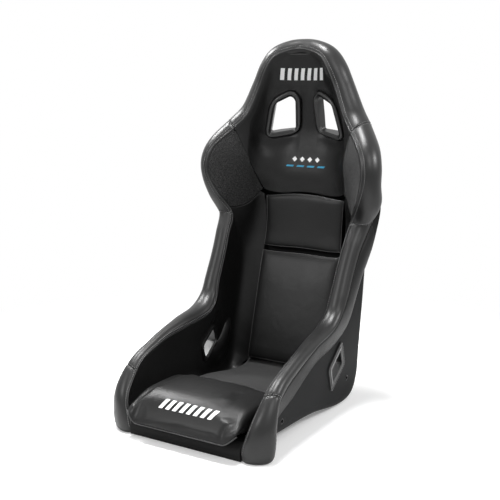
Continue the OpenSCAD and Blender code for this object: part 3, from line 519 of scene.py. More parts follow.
def bevelled(node, finish, slot_name, radius, segments=3):
    """A CAD piece's own shape with its edges rounded, which then stands for it."""
    made = placed(node + "_finished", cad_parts[node].data.copy())
    shape = bmesh.new()
    shape.from_mesh(made.data)
    bmesh.ops.remove_doubles(shape, verts=shape.verts, dist=1e-5)
    bmesh.ops.dissolve_limit(shape, angle_limit=math.radians(1), verts=shape.verts, edges=shape.edges)
    shape.to_mesh(made.data)
    shape.free()
    edge = made.modifiers.new("edge", "BEVEL")
    edge.width, edge.segments = radius * MM, segments
    edge.limit_method, edge.angle_limit = "ANGLE", math.radians(40)
    edge.use_clamp_overlap = True
    settled(made, 45)
    made.data.materials.clear()
    made.data.materials.append(finish)
    return fixed(made, slot_name, node)


steel, shader = mottled("blackened_steel", grey(0.006), grey(0.014), 160, 4, 0.25, 0.3)
shader.inputs["Metallic"].default_value = 1
for hand in ("left", "right"):
    for end in ("front", "rear"):
        bevelled(f"mount_bush_{end}_{hand}", steel, "bush", 0.5)

# ---- Harness slot frames ----
# Moulded black plastic frames that line the strap slots: the flange lies on the padding, the
# collar goes through the shell, and a ring closes it on the outside.
plastic = mottled("black_moulding", grey(0.006), grey(0.01), 30, 2, 0.26, 0.14, (1500, 1, 0.25, 0.0002))[0]

# cross-sections: millimetres out from the hole, and up from the seat of the frame
FLANGE = [[-0.4, -2], [-0.4, 1.2], [0.3, 2.0], [3.6, 2.3], [4.5, 4.3], [5.6, 5.2], [8.0, 5.5],
          [10.8, 5.1], [12.8, 3.8], [13.8, 1.9], [14.0, -4.0], [2.4, -4.0]]
HIP_FLANGE = [[2.6, -22], [2.6, 1.4], [3.2, 2.0], [5.0, 2.2], [5.8, 3.8], [7.0, 4.6], [10.0, 4.8],
              [12.0, 3.6], [12.6, 1.6], [12.8, -4.0], [3.9, -4.0], [3.9, -22]]
RING = [[4.2, 0.3], [4.2, 2.8], [5.0, 3.3], [10.6, 3.3], [11.2, 2.2], [15.2, 2.2], [15.8, 3.3],
        [17.4, 3.0], [18.0, 0.3]]


def swept(name, hole, profile, spot, seat, up, turn_r, mirror):
    """A profile swept round a slot's hole, whose corners open by turn_r as it goes out."""
    turn, shift = np.array(spot.to_3x3()), np.array(spot.translation)
    rings = []
    for out, high in profile:
        ring = soften(grow(hole, out), turn_r[0] + turn_r[1] * max(out, 0))
        rings.append(np.column_stack([ring, np.full(len(ring), seat + up * high)]) @ turn.T + shift)
    ids = np.arange(len(rings) * len(rings[0])).reshape(len(rings), -1)
    nxt, over = np.roll(ids, -1, axis=1), np.roll(ids, -1, axis=0)
    made = piece(name, rings, np.stack([ids, nxt, np.roll(over, -1, axis=1), over], -1).reshape(-1, 4),
                 finish=plastic, mirror=mirror)
    made.data.set_sharp_from_angle(angle=math.radians(40))
    return made


def with_collar(made, node, level, spot, mirror):
    """Adds the CAD piece's own collar, cut to the shell's back, below a level of the slot's frame."""
    turn, shift, flip = np.array(spot.to_3x3()), np.array(spot.translation), [-1 if mirror else 1, 1, 1]
    shape = bmesh.new()
    shape.from_mesh(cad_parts[node].data)
    bmesh.ops.remove_doubles(shape, verts=shape.verts, dist=1e-5)
    bmesh.ops.bisect_plane(shape, geom=shape.verts[:] + shape.edges[:] + shape.faces[:], dist=1e-6,
                           plane_co=(turn @ [0, 0, level] + shift + SHIFT) * MM * flip,
                           plane_no=turn[:, 2] * flip, clear_outer=True)
    bmesh.ops.bridge_loops(shape, edges=[edge for edge in shape.edges if edge.is_boundary])
    shape.from_mesh(made.data)
    bmesh.ops.recalc_face_normals(shape, faces=shape.faces)
    for face in shape.faces:
        face.material_index, face.smooth = 0, True
    shape.to_mesh(made.data)
    shape.free()
    made.data.set_sharp_from_angle(angle=math.radians(40))
    return made


hands = (("left", False), ("right", True))
for hand, mirror in hands:
    node = "shoulder_frame_" + hand
    made = swept(node + "_finished", shoulder_hole, FLANGE, at_shoulder, 0, 1, (9, 1.9), mirror)
    fixed(with_collar(made, node, -1.5, at_shoulder, mirror), "moulding", node)
    for part, profile, seat, up, turn_r in (("frame", HIP_FLANGE, -hip_seat, -1, (4, 1)),
                                            ("ring", RING, 0, 1, (4, 0.5))):
        node = f"hip_{part}_{hand}"
        made = swept(node + "_finished", hip_hole, profile, at_hip, seat, up, turn_r, mirror)
        fixed(made, "moulding", node)
    bevelled("shoulder_ring_" + hand, plastic, "moulding", 0.7)
bevelled("crotch_frame", plastic, "moulding", 0.6)
bevelled("crotch_ring", plastic, "moulding", 0.6)

# ---- Side pads, wing pads and head panel ----
# Foam pads of 10 to 30 mm glued to the shell under their covers: smooth vinyl beside the sitter
# and behind the shoulders, open mesh cloth on the wings. Their covers are sewn to the rim rolls.
side_t, chest_t, slot_t, grip = 11, 31, 9, 20
# the padding's thickness, and half width and fold radius of its face
LINING = [[0, side_t, 130, 8], [1, side_t, 134, 12], [2, side_t, hip - 22, fold - 2],
          [3, side_t, hip - 5 - side_t, fold - 2], [9, side_t + 1, hip - 5 - side_t, fold],
          [11, side_t + 2, hip - 8 - side_t, fold + 14], [12, side_t + 2, hip - 10 - side_t, fold + 30],
          [13, side_t + 3, hip - 14 - side_t, 74], [14, side_t + 4, hip - 18 - side_t, 88],
          [15, side_t + 5, hip - 24 - side_t, 86], [16, side_t + 5, hip - 36 - side_t, 66],
          [17, side_t + 6, 130, 56], [18.3, chest_t - 3, 114, 76], [19.2, chest_t - 13, 110, 80],
          [20, slot_t, 106, 80], [20.8, slot_t, 90, 70], [22, slot_t + 7, 70, 56],
          [23, slot_t + 18, 52, 42], [24, slot_t + 32, 26, 12]]
# the wing pad's seams to the head panel and to the side pad, as a share of the rib's height, which
# meet at the head panel's lower corner
panel_corner = 17.56
SEAM_WING = [[panel_corner, 0.13], [17.9, 0.3], [18.4, 0.6], [18.7, 0.8], [shoulder_seam, 1]]
SEAM_WAIST = [[waist_seam, 1], [15, 0.76], [16.28, 0.4], [panel_corner, 0.13]]
top_v, v_gap = 0.994, 0.002


def lining_frame(u):
    """The frame of the padding's face at rib u, as frame_of is for the shell."""
    g = guide(LINING, u)
    return frame_of(u, g[..., 0] + wall, g[..., 1], g[..., 2], guide(SEAM_IN, u), 2)


def lining(u, v):
    """A point of the padding's face."""
    return on_rib(lining_frame(u), v)


def seam_v(rows, u):
    """The v of a seam given by its share of the rib's height."""
    f = lining_frame(u)
    return v_high(f, f[6] * np.clip(guide(rows, u)[..., 0], 0, 1))


def under(u, v):
    """The v on the shell behind a v of the lining, short of the roll's grip."""
    f = frame_of(np.minimum(u, last_rib))
    e = v_high(f, f[6] - np.minimum(grip + 2, 0.8 * f[6]))
    k = np.minimum(v_fold, e)
    return np.where(v <= k, v, mix(k, e, (v - k) / (1 - k)))


def sunk(p, n, reach, deep, rims=(1, 1, 1, 1), holes=()):
    """A pad's face drawn down along its rims, and round holes, as a sewn cover is."""
    across, along = lengths(p)
    d = np.full(p.shape[:2], 1e3)
    for wanted, gone in zip(rims, (along, along[-1] - along, across, across[:, -1:] - across)):
        if wanted:
            d = np.minimum(d, gone)
    deep = np.full(p.shape[:2], float(deep))
    for outline, spot, wide, down in holes:
        local = (p - np.array(spot.translation)) @ np.array(spot.to_3x3())
        side = np.roll(outline, -1, 0) - outline
        off = local[..., None, :2] - outline
        t = np.clip((off * side).sum(-1) / (side * side).sum(-1), 0, 1)
        gone = np.linalg.norm(off - t[..., None] * side, axis=-1).min(-1)
        within = (off[..., 1] * side[:, 0] - off[..., 0] * side[:, 1]).min(-1)
        gone = reach * np.where(within > 0, 0, gone) / wide
        d = np.minimum(d, gone)
        deep = np.where(gone <= d, down, deep)
    t = np.clip(d / reach, 0, 1)
    return p - n * (deep * (1 - np.sqrt(1 - (1 - t) ** 2)))[..., None]


def seated(p, hole, out, spot, level, reach, share=1.0):
    """A pad's face pressed level round a slot frame, at a height in the slot's own frame."""
    turn, shift = np.array(spot.to_3x3()), np.array(spot.translation)
    local = (p - shift) @ turn
    a = grow(hole, out)
    along = np.roll(a, -1, 0) - a
    side = unit(np.stack([along[:, 1], -along[:, 0]], -1))
    gone = np.maximum(((local[..., None, :2] - a) * side).sum(-1).max(-1), 0)
    # the far wall of the seat is more than 54 mm off and stays as it is
    near = np.clip((54 - np.abs(local[..., 2] - level)) / 30, 0, 1)
    fall = np.clip(-unit(local[..., :2] - a.mean(0))[..., 1], 0, 1)
    pull = np.clip(1 - gone / (reach * (1 + fall)), 0, 1) * near
    pull = pull * pull * (3 - 2 * pull) * share
    local[..., 2] = mix(local[..., 2], level, pull)
    return local @ turn.T + shift


def towards(p, back):
    """Unit normals of a grid, on the side away from its back."""
    n = unit(np.cross(np.gradient(p, axis=0), np.gradient(p, axis=1)))
    return n * np.sign((n * (p - back)).sum(-1).mean())


def pad_grids(us, lo_face, lo_back, hi, js, lifted=False):
    """Face and back of a pad between two seams, its lower middle lifted if it ends in an arc."""
    U, J = np.meshgrid(us, js, indexing="ij")
    raised = U + 0.2 * (1 - J * J) * np.maximum(0, 18.4 - U) if lifted else U
    face = lining(raised, mix(lo_face(U), hi(U), J))
    back_u = np.where(raised <= 22, raised, mix(22, last_rib - 0.75, (raised - 22) / 2))
    back = inside(back_u, mix(lo_back(U), under(U, hi(U)), J), 0.8)
    return face, back


thigh_w, seat_w, back_w = 284, 276, 232


def cushion_x(u):
    """Half the width that the loose cushions take at rib u."""
    return np.where(u < 5.3, thigh_w, mix(seat_w, back_w, np.clip((u - 10.7) / 0.6, 0, 1))) / 2 + 0.6


def stretch(a, b, n, crowd=0.8):
    """Ribs from a to b, crowded towards both ends."""
    return a + (b - a) * eased(n, crowd)


def leather(name, dark, light, rough, gloss=0.5, grain=1100, depth=0.5, crease=1.0):
    """Coated upholstery cloth: a fine cell grain, soft creases, and a sheen that varies."""
    material, wire, shader = new_finish(name)
    place = wire.node("ShaderNodeTexCoord", out="Object")
    cells = wire.node("ShaderNodeTexVoronoi", {"Vector": place, "Scale": grain}, feature="SMOOTH_F1")
    cloud = wire.node("ShaderNodeTexNoise", {"Vector": place, "Scale": 7, "Detail": 3})
    soft = wire.node("ShaderNodeTexNoise", {"Vector": place, "Scale": 26, "Detail": 4, "Distortion": 0.6})
    (cloud * 0.7 + cells * 0.3).between(grey(dark), grey(light)).into(shader, "Base Color")
    (cloud * 0.16 + soft * 0.1 + (rough - 0.13)).into(shader, "Roughness")
    broad = {"Height": soft, "Strength": 0.35 * crease, "Distance": 0.002}
    fine = {"Height": cells, "Strength": depth, "Distance": 0.00025,
            "Normal": wire.node("ShaderNodeBump", broad, out="Normal")}
    wire.node("ShaderNodeBump", fine, out="Normal").into(shader, "Normal")
    shader.inputs["Specular IOR Level"].default_value = gloss
    return material


def woven(name, dark, light, pitch, rough=0.85, sheen=0.3):
    """Cloth whose over and under threads follow the piece's own cloth coordinates, in metres."""
    material, wire, shader = new_finish(name)
    cloth = wire.node("ShaderNodeUVMap", uv_map="cloth")
    split = wire.node("ShaderNodeSeparateXYZ", {0: cloth})
    turn = 2 * math.pi / pitch
    weave = (split * turn).wave() * (split.other("Y") * turn).wave() * 0.5 + 0.5
    speck = wire.node("ShaderNodeTexNoise", {"Vector": cloth, "Scale": 1.1 / pitch, "Detail": 2})
    cloud = wire.node("ShaderNodeTexNoise", {"Vector": cloth, "Scale": 12, "Detail": 2})
    tone = (weave * 0.4 + speck * 2.2 + cloud * 0.3 - 1.1).limited()
    tone.between(grey(dark), grey(light)).into(shader, "Base Color")
    (rough + speck * 0.1).into(shader, "Roughness")
    relief = {"Height": weave + speck * 0.8, "Strength": 1.0, "Distance": 0.001}
    wire.node("ShaderNodeBump", relief, out="Normal").into(shader, "Normal")
    shader.inputs["Sheen Weight"].default_value = sheen
    shader.inputs["Sheen Roughness"].default_value = 0.5
    shader.inputs["Specular IOR Level"].default_value = 0.3
    return material


panel_vinyl = leather("panel_vinyl", 0.004, 0.012, 0.38, 0.21)
roll_vinyl = leather("roll_vinyl", 0.005, 0.012, 0.38, 0.32, depth=0.06, crease=0.5)
wing_mesh = woven("wing_mesh", 0.002, 0.06, 0.0042, sheen=0.04)
seat_cloth = woven("seat_cloth", 0.003, 0.04, 0.003, sheen=0.05)


def dressed(made, node, slot_name="vinyl"):
    """A soft piece that stands for its CAD solid, full of foam or a coat of cloth."""
    fixed(made, slot_name, node)
    return made


# side pads, whose upper end runs up under the wing pad's lower seam
side_us = np.concatenate([stretch(1.9, waist_seam, 190)[:-1], np.linspace(waist_seam, 17.4, 50)])
side_hi = lambda u: np.where(u <= waist_seam, top_v,
                             np.minimum(seam_v(SEAM_WAIST, np.maximum(u, waist_seam)) - v_gap, top_v))
face, back = pad_grids(side_us, lambda u: v_wide(lining_frame(u), cushion_x(u)),
                       lambda u: v_wide(frame_of(u), cushion_x(u)), side_hi, eased(56))
face = seated(face, hip_hole, 11, at_hip, -hip_seat - 1.2, 30)
hip_seat_hole = (soften(grow(hip_hole, 12.4), 20), at_hip, 7, 3.2)
side_face = sunk(face, towards(face, back), 5, 1.6, (0, 1, 0, 1), [hip_seat_hole])

# wing pads, sewn to the head panel and to the side pad
wing_us = stretch(14.12, 18.9, 90)
wing_lo = lambda u: v_gap + np.where(u < panel_corner, seam_v(SEAM_WAIST, u),
                                     seam_v(SEAM_WING, np.maximum(u, panel_corner)))
wing_grid, wing_back = pad_grids(wing_us, wing_lo, lambda u: under(u, wing_lo(u)),
                                 lambda u: np.full(np.shape(u), top_v), eased(44))
wing_face = sunk(wing_grid, towards(wing_grid, wing_back), 5, 1.3)
for hand, mirror in hands:
    pad = slab("side_pad_cover_" + hand, side_face, back, panel_vinyl, mirror)
    bored(pad, [prism("cut", soften(grow(hip_hole, 4.6), 6), -60, 40, at_hip, mirror)])
    dressed(pad, "side_pad_" + hand)
    pad = slab("wing_pad_cover_" + hand, wing_face, wing_back, wing_mesh, mirror)
    dressed(pad, "wing_pad_" + hand, "wing_fabric")

# head panel, pressed level round the slot frames and tucked in along its lower edge
head_us = np.concatenate([np.linspace(panel_corner, shoulder_seam, 50)[:-1],
                          stretch(shoulder_seam, 23.9, 120, 0.3)])
head_hi = lambda u: np.where(u < shoulder_seam, np.minimum(
    seam_v(SEAM_WING, np.minimum(u, shoulder_seam)) - v_gap, top_v), top_v)
middle, head_js = lambda u: 0 * u, eased(60, 0.5)
head_grid, head_back = pad_grids(head_us, middle, middle, head_hi, head_js, lifted=True)
low = np.clip((18.25 - head_us) / 0.69, 0, 1)[:, None, None]
head_grid = head_grid - towards(head_grid, head_back) * 3 * low * low * (3 - 2 * low)
x, z = head_grid[..., 0], head_grid[..., 2]
# pressed in full round the frames, and less towards the middle line and the panel's outer seam
share = mix(np.clip((x - 22) / 34, 0, 1), np.clip(x / 22, 0, 1), np.clip((z - 670) / 60, 0, 1))
share = share * np.clip((0.78 - head_js) / 0.34, 0, 1)
head_grid = seated(head_grid, shoulder_hole, 14, at_shoulder, 1.2, 24, share * share * (3 - 2 * share))
head_hole = (soften(grow(shoulder_hole, 13.6), 34), at_shoulder, 8, 5)
head_face = sunk(head_grid, towards(head_grid, head_back), 5, 1.6, (0, 1, 0, 1), [head_hole])
panel = slab("head_panel_cover", both(head_face), both(head_back), panel_vinyl)
dressed(bored(panel, [prism("cut", soften(grow(shoulder_hole, 3.1), 5), -40, 60, at_shoulder, mirror)
                      for hand, mirror in hands]), "head_panel")

# hip bolsters, soft ridges of the side pads below the hip slots
bolster_t, crest = 12, 0.74
# the bolster's lower and upper edge, as heights on the rib
BOLSTER = [[8.2, 14, 66], [8.6, 20, 82], [9, 26, 97], [9.5, 34, 112], [10, 44, 126], [10.5, 52, 132],
           [11, 56, 128], [12, 50, 100]]
U, J = np.meshgrid(stretch(8.2, 12, 90, 0.4), eased(50, 0.4), indexing="ij")
f, b = lining_frame(U), guide(BOLSTER, U)
V = v_high(f, mix(b[..., 0], b[..., 1], J) - side_t)
n = unit(np.cross(on_rib(f, V + 0.01) - on_rib(f, V - 0.01), lining(U + 0.05, V) - lining(U - 0.05, V)))
ends = np.clip(np.minimum((U - 8.2) / 1.0, (12 - U) / 1.4), 0, 1)
ridge = np.where(J < crest, np.sin(np.clip(J / crest, 0, 1) * np.pi / 2) ** 1.5,
                 np.cos(np.clip((J - crest) / (1 - crest), 0, 1) * np.pi / 2) ** 0.8)
swell = bolster_t * ridge * np.sin(ends * np.pi / 2) ** 2 - 1.2
bolster_back, bolster_face = on_rib(f, V) - 4 * n, on_rib(f, V) + swell[..., None] * n
for hand, mirror in hands:
    dressed(slab("hip_bolster_" + hand, bolster_face, bolster_back, panel_vinyl, mirror), "hip_pad_" + hand)

# ---- Rim rolls ----
# Long foam rolls in satin vinyl over the shell's edge, cut in four stretches and sewn end to end
# at the shoulders, the waist and the front. Each grips the edge with its lower lips.


def near_edge(u, q):
    """The rib and v at distance q from the shell's edge, which runs on across the crown."""
    s, f = np.minimum(u, last_rib), frame_of(np.minimum(u, last_rib))
    a = np.pi / 2 * np.clip((u - last_rib + 0.35) / 0.7, 0, 1)
    w = np.where(u <= last_rib, 1, (crown_rib - u) / (crown_rib - last_rib))
    dv = 1 - v_high(f, f[6] - np.minimum(q, 0.8 * f[6]))
    return s - np.sin(a) * q / 38, w * (1 - np.cos(a) * dv)


def shell_out(u, q, d):
    """A point d off the shell's outer face, q from its edge."""
    return skin(*near_edge(u, q), d)


def shell_in(u, q, d):
    """A point d off the shell's inner face, q from its edge."""
    return inside(*near_edge(u, q), d)


def rise_of(u):
    """The direction in which a roll's crest stands up from its two seams."""
    ahead = edge_mid(u + 0.06) - edge_mid(u - 0.06)
    return unit(np.cross(guide(SEAM_OUT, u) - guide(SEAM_IN, u), ahead))


def arc_points(u, degrees, out=0.0):
    """Points on the roll's crest at an angle from its inner seam, out from its surface."""
    a, b = guide(SEAM_IN, u), guide(SEAM_OUT, u)
    m, n, h = (a + b) / 2, rise_of(u), guide(ROLL, u)[..., :1]
    t = np.radians(degrees)[..., None]
    ray = -np.cos(t) * (b - a) / 2 + np.sin(t) * h * n
    return m + ray * (1 + np.asarray(out)[..., None] / np.linalg.norm(ray, axis=-1, keepdims=True))


def roll_rings(us, dent):
    """Rings of a roll: over the crest from seam to seam, then round the shell's edge."""
    U, T = np.meshgrid(us, 90 - 90 * np.cos(np.linspace(0, np.pi, 37)), indexing="ij")
    T = mix(T, np.broadcast_to(np.linspace(0, 180, 37), T.shape), 0.6)
    arc = arc_points(U, T, -np.broadcast_to(dent[:, None], T.shape))
    # the front rolls are drawn in and rounded at their foot
    foot = mix(0.74, 1, np.sqrt(np.clip(1 - (1 - us / 0.5) ** 2, 0, 1)))
    foot = np.where(us < 0.5, foot, 1)[:, None, None]
    e = near_edge(us, 0.0)
    eo, ei, up = skin(*e, 0.3)[:, None], inside(*e)[:, None], 0.3 * rise_of(us)[:, None]
    arc = eo + (arc - eo) * foot
    lips = [shell_out(us, grip, 0.3)[:, None], eo + up, ei + up, shell_in(us, grip, 0.3)[:, None]]
    return np.concatenate([arc, *lips], 1)


def run_of(us):
    """Millimetres along the roll from its first ring."""
    return np.concatenate([[0], np.cumsum(np.linalg.norm(np.diff(edge_mid(us), axis=0), axis=1))])


def sewn_ends(us, deep=1.5, reach=3.2, start=True, end=True):
    """How deep the roll's cover is drawn in towards the seams at its ends."""
    run = run_of(us)
    d = np.zeros(len(us))
    for wanted, gone in ((start, run), (end, run[-1] - run)):
        if wanted:
            d = np.maximum(d, deep * np.exp(-(gone / reach) ** 1.5))
    return d


def whole(half):
    """Rings round both hands, from a half that ends at the crown."""
    return np.concatenate([half, half[-2::-1] * [-1, 1, 1]])


seam_cut = 0.008
us = stretch(shoulder_seam + seam_cut, crown_rib, 150, 0.5)
dressed(tube("head_roll_cover", whole(roll_rings(us, sewn_ends(us, end=False))), roll_vinyl), "head_roll")
for hand, mirror in hands:
    for name, u0, u1, n, start in (("wing_roll", waist_seam + seam_cut, shoulder_seam - seam_cut, 130, True),
                                   ("side_roll", front_seam + seam_cut, waist_seam - seam_cut, 200, True),
                                   ("front_roll", 0, front_seam - seam_cut, 90, False)):
        us = stretch(u0, u1, n, 0.85)
        roll = tube(f"{name}_cover_{hand}", roll_rings(us, sewn_ends(us, start=start)), roll_vinyl, mirror)
        dressed(roll, f"{name}_{hand}")

# ---- Outer bands ----
# The cover's skirt, which runs from the roll's outer seam down the outside of the shell and ends
# in a folded hem that is glued down.
# how far the hem lies from the shell's edge, and how far the foam under the band swells
BAND = [[0, 20, 0], [1, 26, 1], [2, 34, 2], [3, 44, 2], [4, 52, 2], [5, 54, 2], [7, 42, 2],
        [8, 42, 2], [9, 47, 2], [10, 58, 3], [11, 76, 5], [12, 88, 8], [14, 98, 13], [15, 92, 12],
        [16, 80, 8], [17.5, 68, 6], [19, 54, 4], [20.5, 42, 2], [22, 38, 2], [25, 34, 2]]
band_vinyl = leather("band_vinyl", 0.006, 0.012, 0.46, 0.14)


def band_rings(us):
    """Rings of a band: its face from the seam to the hem, and its back along the shell."""
    g = guide(BAND, us)
    q, swell = g[:, 0], g[:, 1:]
    s, e = guide(SEAM_OUT, us), shell_out(us, q, 3.0)
    a = s + unit(e - s) * 0.6
    n = unit(e - shell_out(us, q, 0.0))
    t = np.linspace(0, 1, 15)[None, :, None]
    bow = (4 * t * (1 - t)) ** 0.8
    wide = np.linalg.norm(e - a, axis=1)[:, None]
    # drawn in at the hem, and dipped beside the roll's seam
    from_seam = t[0, :, 0] * wide
    drawn = 0.9 * np.exp(-((wide - from_seam) / 2.0) ** 2) + 1.6 * np.exp(-(from_seam / 3.0) ** 2)
    face = mix(a[:, None], e[:, None], t) + (bow * swell[:, None] - drawn[..., None]) * n[:, None]
    rest = [shell_out(us, q, 0.3), shell_out(us, (q + grip + 1.5) / 2, 0.3), shell_out(us, grip + 1.5, 0.3)]
    return np.concatenate([face, np.stack(rest, 1)], 1)


us = stretch(shoulder_seam + seam_cut, crown_rib, 120, 0.3)
dressed(tube("head_band_cover", whole(band_rings(us)), band_vinyl), "head_band")
for hand, mirror in hands:
    for name, u0, u1, n in (("wing_band", waist_seam + seam_cut, shoulder_seam - seam_cut, 90),
                            ("side_band", 2.1, waist_seam - seam_cut, 160)):
        band = tube(f"{name}_cover_{hand}", band_rings(stretch(u0, u1, n, 0.3)), band_vinyl, mirror)
        dressed(band, f"{name}_{hand}")

# ---- Cushions ----
# Loose foam cushions in their own covers, held by hook-and-loop strips: two on the back, a seat
# pad in woven cloth, and a thigh cushion that hangs over the front edge of the shell.


def crown(t, power=12):
    """1 in the middle and 0 at either edge, flatter for a higher power."""
    return np.sqrt(np.clip(1 - np.abs(t) ** power, 0, 1))


def level(u, x):
    """The rib that a cushion's edge follows, lifted in the middle as the lining is."""
    return u + 0.2 * (1 - x * x) * np.clip((u - 14) / 3, 0, 1)


def cushion_grids(u0, u1, w, t0, t1, swell, power=12, pinch=3, lie=2.6, n=60, m=60):
    """Face and back of a cushion on the shell from rib u0 to rib u1."""
    S, X = np.meshgrid(-1 + 2 * eased(n, 0.93), -1 + 2 * eased(m, 0.93), indexing="ij")

    def spot(s, x):
        u = level(mix(u0, u1, (s + 1) / 2), x)
        narrow = np.where(u0 < 10, 16 * np.clip((u - 8.8) / 1.7, 0, 1) ** 1.5, 0)
        v = v_wide(frame_of(u), np.abs(x) * (w / 2 - narrow - pinch * (1 - s * s)))
        return inside(u, v, lie) * np.stack([np.where(x < 0, -1, 1), np.ones_like(x), np.ones_like(x)], -1)

    u = mix(u0, u1, (S + 1) / 2)
    k = np.minimum(u, 9.3) if u0 < 10 else u
    d = guide(SPINE, k + 0.05) - guide(SPINE, k - 0.05)
    ahead = unit(np.stack([0 * u, -d[..., 1], d[..., 0]], -1))
    b, c, t = spot(S, X), spot(S, 0 * X), mix(t0, t1, (S + 1) / 2)
    r, e = ((b - c) * ahead).sum(-1), crown(X, power) * crown(S, power)
    thick = np.maximum(4 + (t - 4) * (0.7 + 0.3 * e) + swell * (1 - X * X) * (1 - S * S) - r, 4)
    return b + ahead * thick[..., None], b


def puffed(made, cap, pressure=4.0):
    """Lets the cover swell under the foam's pressure, no point by more than cap millimetres."""
    rest = np.empty(len(made.data.vertices) * 3)
    made.data.vertices.foreach_get("co", rest)
    cloth, steps = made.modifiers.new("swell", "CLOTH"), 20
    cloth.settings.use_pressure = True
    cloth.settings.uniform_pressure_force = pressure
    cloth.settings.effector_weights.gravity = 0
    cloth.settings.quality = 5
    cloth.point_cache.frame_start, cloth.point_cache.frame_end = 1, steps
    for step in range(1, steps + 1):
        bpy.context.scene.frame_set(step)
    blown = bpy.data.meshes.new_from_object(made.evaluated_get(bpy.context.evaluated_depsgraph_get()))
    moved = np.empty(len(blown.vertices) * 3)
    blown.vertices.foreach_get("co", moved)
    made.modifiers.clear()
    bpy.context.scene.frame_set(1)
    delta = (moved - rest).reshape(-1, 3)
    size = np.linalg.norm(delta, axis=1, keepdims=True)
    delta *= np.minimum(1, cap * MM / np.maximum(size, 1e-9))
    made.data.vertices.foreach_set("co", (rest.reshape(-1, 3) + delta).ravel())
    made.data.update()
    bpy.data.meshes.remove(blown)
    return made


# each between two ribs: width, thickness at either rib, swell, and how square its edges are
welts, k = [], 5
for name, u0, u1, w, t0, t1, swell, power in (("back_cushion_upper", 15.4, 17.46, back_w, 34, 31, 3, 12),
                                              ("back_cushion_lower", 11.25, 15.2, back_w, 43, 37, 4, 12)):
    face, back = cushion_grids(u0, u1, w, t0, t1, swell, power)
    welts.append(np.concatenate([face[k, k:-k], face[k:-k, -k], face[-k, -k:k:-1], face[-k:k:-1, k]]))
    dressed(slab(name + "_cover", face, back, panel_vinyl), name)
seat_pad = slab("seat_pad_cover", *cushion_grids(5.35, 10.55, seat_w, 34, 38, 3, 7), seat_cloth)
bored(puffed(seat_pad, 2.5), [prism("cut", soften(grow(crotch_hole, 5.6), 5), -80, 80, at_crotch)])
dressed(seat_pad, "seat_pad", "seat_fabric")

# the thigh cushion's section: how far forward from its back edge, and how high off the shell
THIGH = [[0, 0.08], [0.35, 0.04], [0.7, 0.04], [0.9, 0.02], [1.03, -0.06], [1.068, -0.05], [1.072, 0.02],
         [1.05, 0.17], [1, 0.36], [0.92, 0.6], [0.83, 0.8], [0.7, 0.95], [0.55, 1], [0.3, 1],
         [0.08, 0.97], [0.01, 0.9], [0, 0.6]]
thigh_back, thigh_run, thigh_high, thigh_base = 116, 176, 64, floor_z + wall + 2


def rounded(p, steps=6):
    """A closed outline with a smooth curve through its points."""
    p = np.array(p, float)
    a, c, d = np.roll(p, 1, 0), np.roll(p, -1, 0), np.roll(p, -2, 0)
    t = (np.arange(steps) / steps)[None, :, None]
    q = 0.5 * (2 * p[:, None] + (c - a)[:, None] * t + (2 * a - 5 * p + 4 * c - d)[:, None] * t ** 2
               + (3 * p - a - 3 * c + d)[:, None] * t ** 3)
    return q.reshape(-1, 2)


profile = rounded(THIGH)
run, high = profile[None, :, 0], profile[None, :, 1]
x = -1 + 2 * eased(80, 0.9)
e = crown(x, 16)
# the cushion is thinner at its two ends, where its corners also curl up at the nose
low = mix(0.55, 1, e)[:, None] * (1 - 0.06 * x * x)[:, None]
curl = np.clip((np.abs(x) - 0.78) / 0.22, 0, 1)[:, None] ** 1.5 * np.clip((run - 0.6) / 0.4, 0, 1)
depth = -thigh_back - thigh_run * mix(0.5, run, mix(0.8, 1, e)[:, None])
height = np.where(high < 0.1, high, mix(0.1, high, low)) + 0.34 * curl * (1 - high)
width = np.broadcast_to((x * 146)[:, None], depth.shape)
thigh_rings = np.stack([width, depth, thigh_base + thigh_high * height], -1)
thigh = dressed(puffed(tube("thigh_cushion_cover", thigh_rings, panel_vinyl), 3.0), "thigh_cushion")

# ---- Front skirt ----
# Coated cloth glued over the front flange of the shell, which closes the cover below the thigh
# cushion.
U, V = np.meshgrid(np.linspace(0.06, 1.5, 24), np.linspace(0, 0.41, 40), indexing="ij")
skirt_cloth = leather("skirt_cloth", 0.003, 0.006, 0.6, 0.12)
skirt = slab("front_skirt_cover", both(inside(U, V, 8.3)), both(inside(U, V, 0.3)), skirt_cloth)
dressed(skirt, "front_skirt", "webbing")

# ---- Hook-and-loop strips ----
# Strips of black hook-and-loop tape, glued to the shell and sewn under the loose cushions, which
# hold them down and let them come off for washing.
hook_cloth = woven("hook_cloth", 0.008, 0.02, 0.0015)
bevelled("hook_strips", hook_cloth, "hook_and_loop", 0.2, 1)

# ---- Welts ----
# Thin corded welts of roll vinyl, sewn into the rolls' inner seams, round the back cushions and
# along the thigh cushion's hem. Their grey is several times lighter than the rolls': a painted highlight
# along the seams.


def cord(path, radius):
    """Rings of a round cord along a path."""
    ahead = unit(np.gradient(path, axis=0))
    side = unit(np.cross(ahead, [0.3, 1, 0.2]))
    a = np.linspace(0, 2 * np.pi, 8, endpoint=False)[None, :, None]
    return path[:, None] + radius * (np.cos(a) * side[:, None] + np.sin(a) * np.cross(ahead, side)[:, None])


def seam_line(u0, u1, n, degrees, out, flip):
    """A line along a roll, at an angle over its crest and a little out from it."""
    return arc_points(np.linspace(u0, u1, n), np.full(n, float(degrees)), np.full(n, out)) * flip


